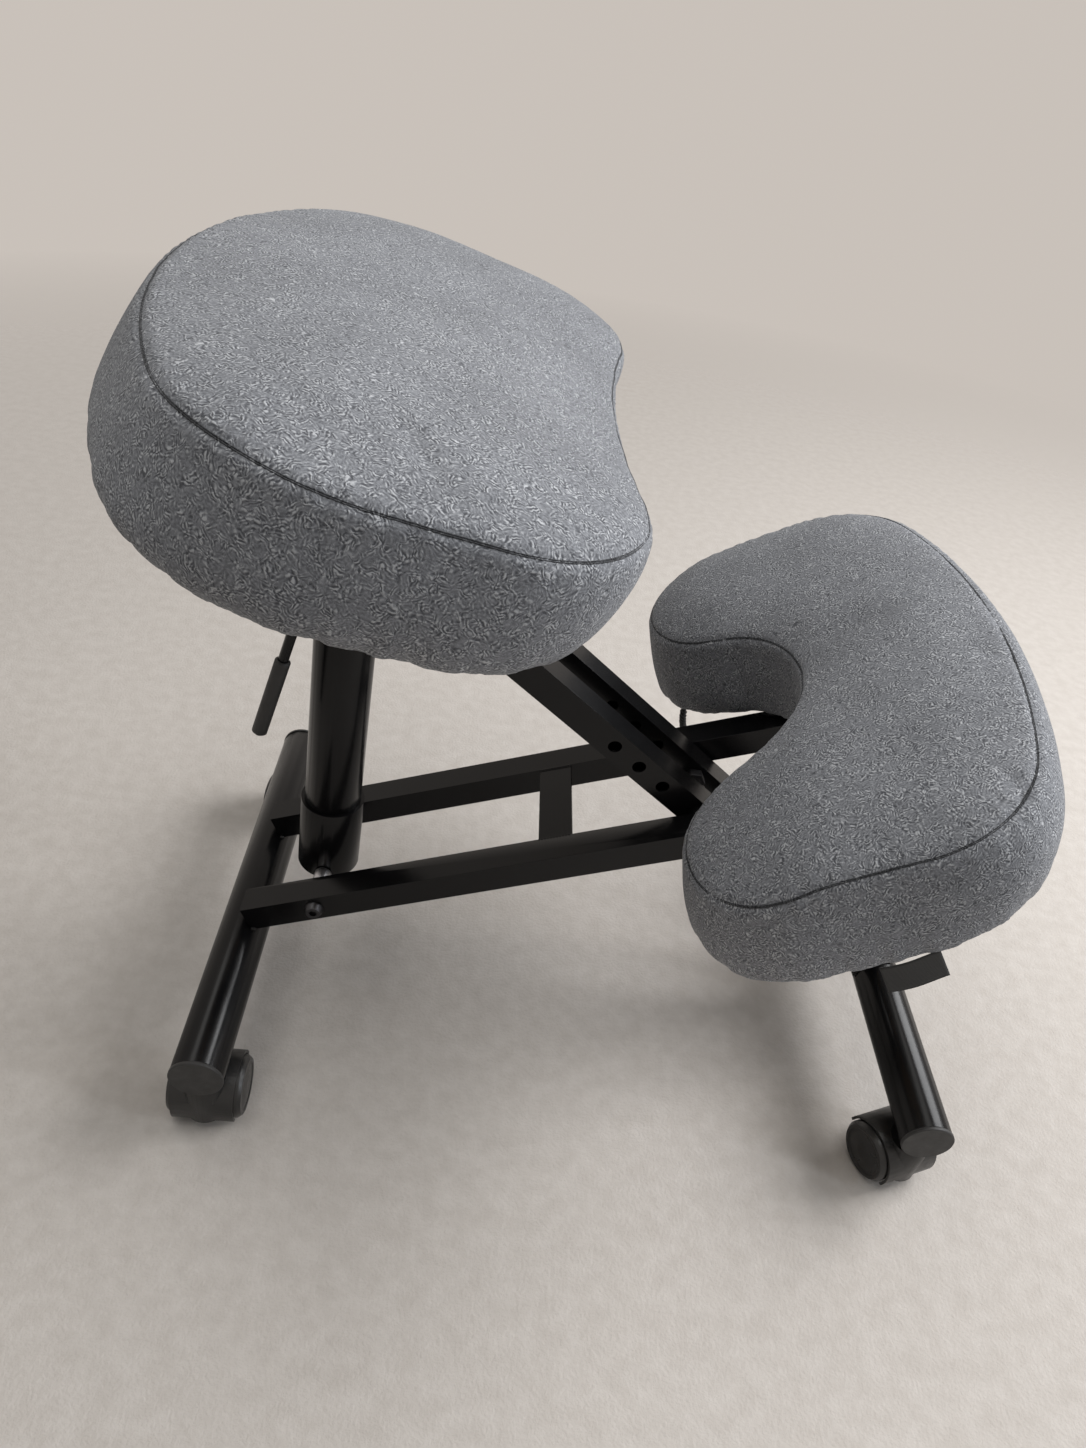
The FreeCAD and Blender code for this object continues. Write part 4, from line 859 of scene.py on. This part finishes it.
def make_cushion(pad):
    """Filled cover: lofted, remeshed, blown up between its seams, then sewn."""
    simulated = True
    rings = pad_rings(pad, SWELL if simulated else 0)
    piece = link(pad.name, rings_to_mesh(pad.name, rings))
    remesh(piece, VOXEL)
    if simulated:
        points = coordinates(piece.data)
        seam = pad.sagged(
            np.column_stack((pad.outline.points, np.zeros(len(pad.outline.points))))
        )
        near = near_path([Vector(p) for p in points], [Vector(p) for p in seam], HELD_BY_SEAM)
        held = {i for i, _, _ in near}
        held |= {i for i, point in enumerate(points) if point[2] < -pad.side + HELD_BY_HEM}
        simulate(piece, sorted(held), SWELL_CAP)
    finer = piece.modifiers.new("finer", "SUBSURF")
    finer.levels = 1
    finer.render_levels = 1
    applied(piece)
    path, outward = sew(piece, pad)
    piece.data.materials.append(COVER)
    piece.data.polygons.foreach_set("use_smooth", [True] * len(piece.data.polygons))
    piece.matrix_world = pad.place
    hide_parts(f"{pad.name}_cushion")
    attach(piece, pad.body)
    make_seam(pad, path, outward)
    make_hem(pad)


seat = Pad(
    "seat",
    "seat_frame",
    seat_outline(),
    SEAT,
    side=0.088,
    low=0.052,
    crown=0.017,
    bulge=0.009,
    tuck=0.020,
    lean=0.020,
    reach=0.076,
    hem=0.0010,
    sag=(0.005, -0.040, 0.080, 0.2),
    front=(0.006, 0.060, 0.130),
    turned_in=0.032,
    casing=0.0026,
    creases=[
        ((0.05, -0.215, 0.004), (0.010, -0.160, 0.014), 0.0035, 0.008),
        ((0.020, -0.215, 0.004), (-0.004, -0.150, 0.014), 0.0020, 0.007),
    ],
)
knee = Pad(
    "knee",
    "base",
    knee_outline(),
    KNEE,
    side=0.084,
    low=0.064,
    crown=0.014,
    bulge=0.011,
    tuck=-0.0025,
    lean=0.009,
    hollow_share=0.3,
    reach=0.056,
    hem=0.0008,
    sag=(0.013, -0.020, 0.090, 0.4),
    front=(0.009, 0.020, 0.100),
    turned_in=0.032,
    casing=0.0010,
    creases=[
        ((-0.001, 0.016, 0.012), (0.083, 0.027, 0.013), 0.0025, 0.012),
        ((0.108, -0.050, 0.008), (0.134, -0.066, 0.001), 0.0013, 0.006),
        ((0.090, -0.170, 0.008), (0.098, -0.197, 0.000), 0.0015, 0.006),
    ],
)
make_cushion(seat)
make_cushion(knee)


# Welds, label and drawstring


def in_place(place, *points):
    """Points of a placed frame, in the chair's own."""
    return [place @ Vector(point) for point in points]


def stepped(corners, step=0.0007):
    """Points at small steps along straight runs between corners."""
    points = []
    for start, stop in zip(corners, corners[1:]):
        count = max(1, int((stop - start).length / step))
        points += [start.lerp(stop, i / count) for i in range(count)]
    return points + [corners[-1]]


def weld(name, body, corners, radius=0.0022):
    """Rippled weld bead along a run of corners."""
    bead = tube(name, stepped(corners), radius, POWDER, ripple=0.16, pitch=0.0026)
    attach(bead, body)


def round_tube(centre, radius, start, stop, y):
    """Run around a crossbar's surface, between two angles seen from the side."""
    count = 14
    points = []
    for i in range(count + 1):
        angle = math.radians(start + (stop - start) * i / count)
        points.append(
            Vector((centre[0] + radius * math.cos(angle), y, centre[1] + radius * math.sin(angle)))
        )
    return points


def make_welds():
    half, tube_radius, rail_y, bar_y = 0.0125, 0.021, 0.057, 0.0266
    rear, front = (-0.295, 0.078), (0.295, 0.078)
    knee_plate_top, seat_plate_under, cheek_middle, cheek_half = -0.0872, -0.0921, 0.0391, 0.004
    rail_slope, brace_along, brace_half, rail_foot = 21.8, 0.265, 0.0145, 0.104
    radius = tube_radius + 0.0004
    for side_name, side in (("left", 1), ("right", -1)):
        # Rail on the rear crossbar: the run under its end, out to both sides
        edges = [side * (rail_y - half), side * (rail_y + half)]
        run = round_tube(rear, radius, 62, 56, edges[0])
        run += round_tube(rear, radius, 56, 62, edges[1])
        weld(f"weld_rail_{side_name}", "base", run, 0.0026)
        # Bar on the front crossbar: all round its section
        edges = [side * (bar_y - half), side * (bar_y + half)]
        swing = math.degrees(math.asin(half / tube_radius))
        middle = 180 - 38
        run = round_tube(front, radius, middle - swing, middle + swing, edges[0])
        run += round_tube(front, radius, middle + swing, middle - swing, edges[1])
        run.append(run[0].copy())
        weld(f"weld_bar_{side_name}", "seat_frame", run)
        # Knee plate on its rail, along both edges
        for edge_name, edge in (("inner", -half), ("outer", half)):
            y = side * rail_y + edge
            ends = in_place(KNEE, (0.020, y, knee_plate_top), (0.096, y, knee_plate_top))
            weld(f"weld_knee_plate_{side_name}_{edge_name}", "base", ends, 0.0018)
        # Cheek under the seat plate
        y = side * (cheek_middle + cheek_half)
        ends = in_place(SEAT, (-0.020, y, seat_plate_under), (0.084, y, seat_plate_under))
        weld(f"weld_cheek_{side_name}", "seat_frame", ends, 0.0018)
        # Brace between the rails
        y = side * (rail_y - half)
        height = rail_foot + brace_along * math.tan(math.radians(rail_slope))
        brace = placed((rear[0] + brace_along, 0, height), -rail_slope)
        ends = in_place(brace, (-brace_half, y, 0.0113), (brace_half, y, 0.0113))
        weld(f"weld_brace_{side_name}", "base", ends, 0.0014)


def make_label():
    """Bare cloth tab sewn into the hem of the right knee lobe."""
    wide, drop, half_thick = 0.040, 0.018, 0.00055
    across, down = 24, 12
    points = []
    for layer in (1, -1):
        for i in range(across + 1):
            for j in range(down + 1):
                u, v = i / across, j / down
                curl = 0.0016 * math.sin(math.pi * u) + 0.0022 * v * v
                body_half = half_thick * math.sqrt(max(0.0, 1 - v**8))
                points.append(
                    (u * wide, -curl - layer * body_half, -v * drop - 0.0006 * math.sin(5 * u))
                )
    rows = down + 1
    sheet = (across + 1) * rows
    faces = []
    for layer in (0, 1):
        for i in range(across):
            for j in range(down):
                a = layer * sheet + i * rows + j
                face = (a, a + rows, a + rows + 1, a + 1)
                faces.append(face if layer else tuple(reversed(face)))
    for i in range(across):
        for j in (0, down):
            a = i * rows + j
            faces.append((a, a + rows, sheet + a + rows, sheet + a))
    for i in (0, across):
        for j in range(down):
            a = i * rows + j
            faces.append((a, a + 1, sheet + a + 1, sheet + a))
    mesh = bpy.data.meshes.new("label")
    mesh.from_pydata(points, [], faces)
    label = link("label", cleaned(mesh), LABEL)
    in_hem = Matrix.Translation((-0.018, -0.2250, -0.0830))
    skewed = Matrix.Rotation(math.radians(-4), 4, "Y")
    hung_out = Matrix.Rotation(math.radians(-20), 4, "X")
    label.matrix_world = KNEE @ in_hem @ (skewed @ hung_out)
    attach(label, "base")


STRING_ROUTE = (
    (0.08212, 0.106, 0.2600),
    (0.08300, 0.106, 0.2480),
    (0.08650, 0.1050, 0.2370),
    (0.08800, 0.1050, 0.2300),
)


CORE_RADIUS, PLY_RADIUS, PLY_AWAY, PLY_STEPS = 0.0024, 0.0018, 0.0018, 7
KNOT_RADIUS, KNOT_POINTS = 0.0017, 60


def make_drawstring():
    """Twisted end of the hem's drawstring, finished with an overhand knot."""
    curve = bpy.data.curves.new("drawstring", "CURVE")
    curve.dimensions = "3D"
    spline = curve.splines.new("NURBS")
    spline.points.add(len(STRING_ROUTE) - 1)
    for point, place in zip(spline.points, STRING_ROUTE):
        point.co = (*place, 1)
    spline.order_u = 3
    spline.use_endpoint_u = True
    curve.resolution_u = 12
    core = bpy.data.meshes.new_from_object(bpy.data.objects.new("route", curve))
    route = [vertex.co.copy() for vertex in core.vertices]
    curve.bevel_depth = CORE_RADIUS
    curve.bevel_resolution = 6
    curve.use_fill_caps = True
    curve.materials.append(BRAID)
    string = bpy.data.objects.new("drawstring", curve)
    bpy.context.scene.collection.objects.link(string)
    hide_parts("drawstring_tail")
    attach(string, "base")
    plies = []
    for ply in (0, 1):
        path = []
        for i, point in enumerate(route):
            turn = math.tau * (i / PLY_STEPS + ply / 2)
            path.append(point + Vector((math.cos(turn), math.sin(turn), 0)) * PLY_AWAY)
        plies.append(tube(f"drawstring_ply_{ply + 1}", path, PLY_RADIUS, BRAID, sides=8))
    knot_path = []
    for i in range(KNOT_POINTS):
        t = math.tau * i / KNOT_POINTS
        x = math.sin(t) + 2 * math.sin(2 * t)
        y = math.cos(t) - 2 * math.cos(2 * t)
        z = -math.sin(3 * t)
        loop = Vector((x * 1.15, y * 1.15, z * 2.2)) * MM
        knot_path.append(Vector(STRING_ROUTE[-1]) + loop)
    knot = tube("drawstring_knot", knot_path, KNOT_RADIUS, BRAID, closed=True, sides=8)
    for piece in plies + [knot]:
        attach(piece, "base")


make_welds()
make_label()
make_drawstring()


# Stage


def make_floor():
    """Pale floor that fades out into the background far from the chair."""
    bpy.ops.mesh.primitive_circle_add(vertices=96, radius=6, fill_type="NGON")
    floor = bpy.context.object
    floor.name = "floor"
    shader = Shader("floor_pale", Roughness=0.9)
    shader.surface.inputs["Specular IOR Level"].default_value = 0.2
    mottled = shader.noise(60, 5, 0.6)
    shader.colour(
        shader.colours(mottled, (0.35, (0.60, 0.55, 0.50)), (0.65, (0.66, 0.61, 0.56)))
    )
    shader.bump(shader.noise(330, 3, 0.6), 0.002, 0.35)
    far = shader.add("ShaderNodeVectorMath", {0: shader.place}, operation="LENGTH").outputs["Value"]
    fade = shader.ramp(far, 0.9, 2.6)
    clear = shader.add("ShaderNodeBsdfTransparent")
    mixed = shader.add(
        "ShaderNodeMixShader", {"Fac": fade, 1: shader.surface.outputs[0], 2: clear.outputs[0]}
    )
    output = shader.tree.nodes["Material Output"]
    shader.tree.links.new(mixed.outputs[0], output.inputs["Surface"])
    floor.data.materials.append(shader.material)


def make_world():
    """Soft even light, with a plain pale background for what the camera sees."""
    world = bpy.data.worlds.new("studio")
    bpy.context.scene.world = world
    world.use_nodes = True
    tree = world.node_tree
    light = tree.nodes["Background"]
    light.inputs["Color"].default_value = (1.0, 1.0, 1.0, 1)
    light.inputs["Strength"].default_value = 0.14
    seen = tree.nodes.new("ShaderNodeBackground")
    seen.inputs["Color"].default_value = (0.585, 0.535, 0.49, 1)
    seen.inputs["Strength"].default_value = 1.0
    rays = tree.nodes.new("ShaderNodeLightPath")
    mixed = tree.nodes.new("ShaderNodeMixShader")
    direct = rays.outputs["Is Camera Ray"]
    for kind in ("Is Glossy Ray", "Is Transmission Ray"):
        either = tree.nodes.new("ShaderNodeMath")
        either.operation = "MAXIMUM"
        tree.links.new(direct, either.inputs[0])
        tree.links.new(rays.outputs[kind], either.inputs[1])
        direct = either.outputs[0]
    tree.links.new(direct, mixed.inputs["Fac"])
    tree.links.new(light.outputs[0], mixed.inputs[1])
    tree.links.new(seen.outputs[0], mixed.inputs[2])
    tree.links.new(mixed.outputs[0], tree.nodes["World Output"].inputs["Surface"])


def make_lamp(name, place, target, size, power, colour):
    data = bpy.data.lights.new(name, "AREA")
    data.shape = "RECTANGLE"
    data.size, data.size_y = size
    data.energy = power
    data.color = colour
    lamp = bpy.data.objects.new(name, data)
    bpy.context.scene.collection.objects.link(lamp)
    lamp.location = place
    lamp.rotation_euler = (Vector(target) - Vector(place)).to_track_quat("-Z", "Y").to_euler()


def make_lights():
    middle = (0, 0, 0.35)
    make_lamp("window", (2.2, 0.7, 2.0), middle, (1.6, 1.6), 76, (0.97, 0.98, 1.0))
    make_lamp("front_fill", (-0.9, -2.3, 1.3), middle, (2.0, 1.6), 1.5, (1.0, 0.98, 0.95))
    make_lamp("top", (-0.4, 0.0, 2.9), middle, (2.5, 2.5), 34, (1.0, 0.99, 0.97))
    make_lamp("edge", (2.3, -0.9, 1.3), middle, (0.4, 1.8), 15, (0.86, 0.92, 1.0))


def make_camera():
    """Camera solved from the photograph's perspective."""
    yaw, pitch, roll = 0.0911, 0.6553, -0.17056
    focal_pixels, picture_height = 987.18, 1448
    forward = Vector(
        (math.sin(yaw) * math.cos(pitch), math.cos(yaw) * math.cos(pitch), -math.sin(pitch))
    )
    level = Vector((math.cos(yaw), -math.sin(yaw), 0))
    down = forward.cross(level)
    right = level * math.cos(roll) + down * math.sin(roll)
    down = down * math.cos(roll) - level * math.sin(roll)
    data = bpy.data.cameras.new("camera")
    data.sensor_fit = "VERTICAL"
    data.sensor_height = 36
    data.lens = focal_pixels / picture_height * data.sensor_height
    data.clip_start = 0.02
    camera = bpy.data.objects.new("camera", data)
    bpy.context.scene.collection.objects.link(camera)
    camera.matrix_world = Matrix.Translation((-0.1146, -0.6379, 0.7962)) @ Matrix(
        (right, -down, -forward)
    ).transposed().to_4x4()
    bpy.context.scene.camera = camera


make_floor()
make_world()
make_lights()
make_camera()
bpy.context.scene.view_settings.view_transform = "Standard"
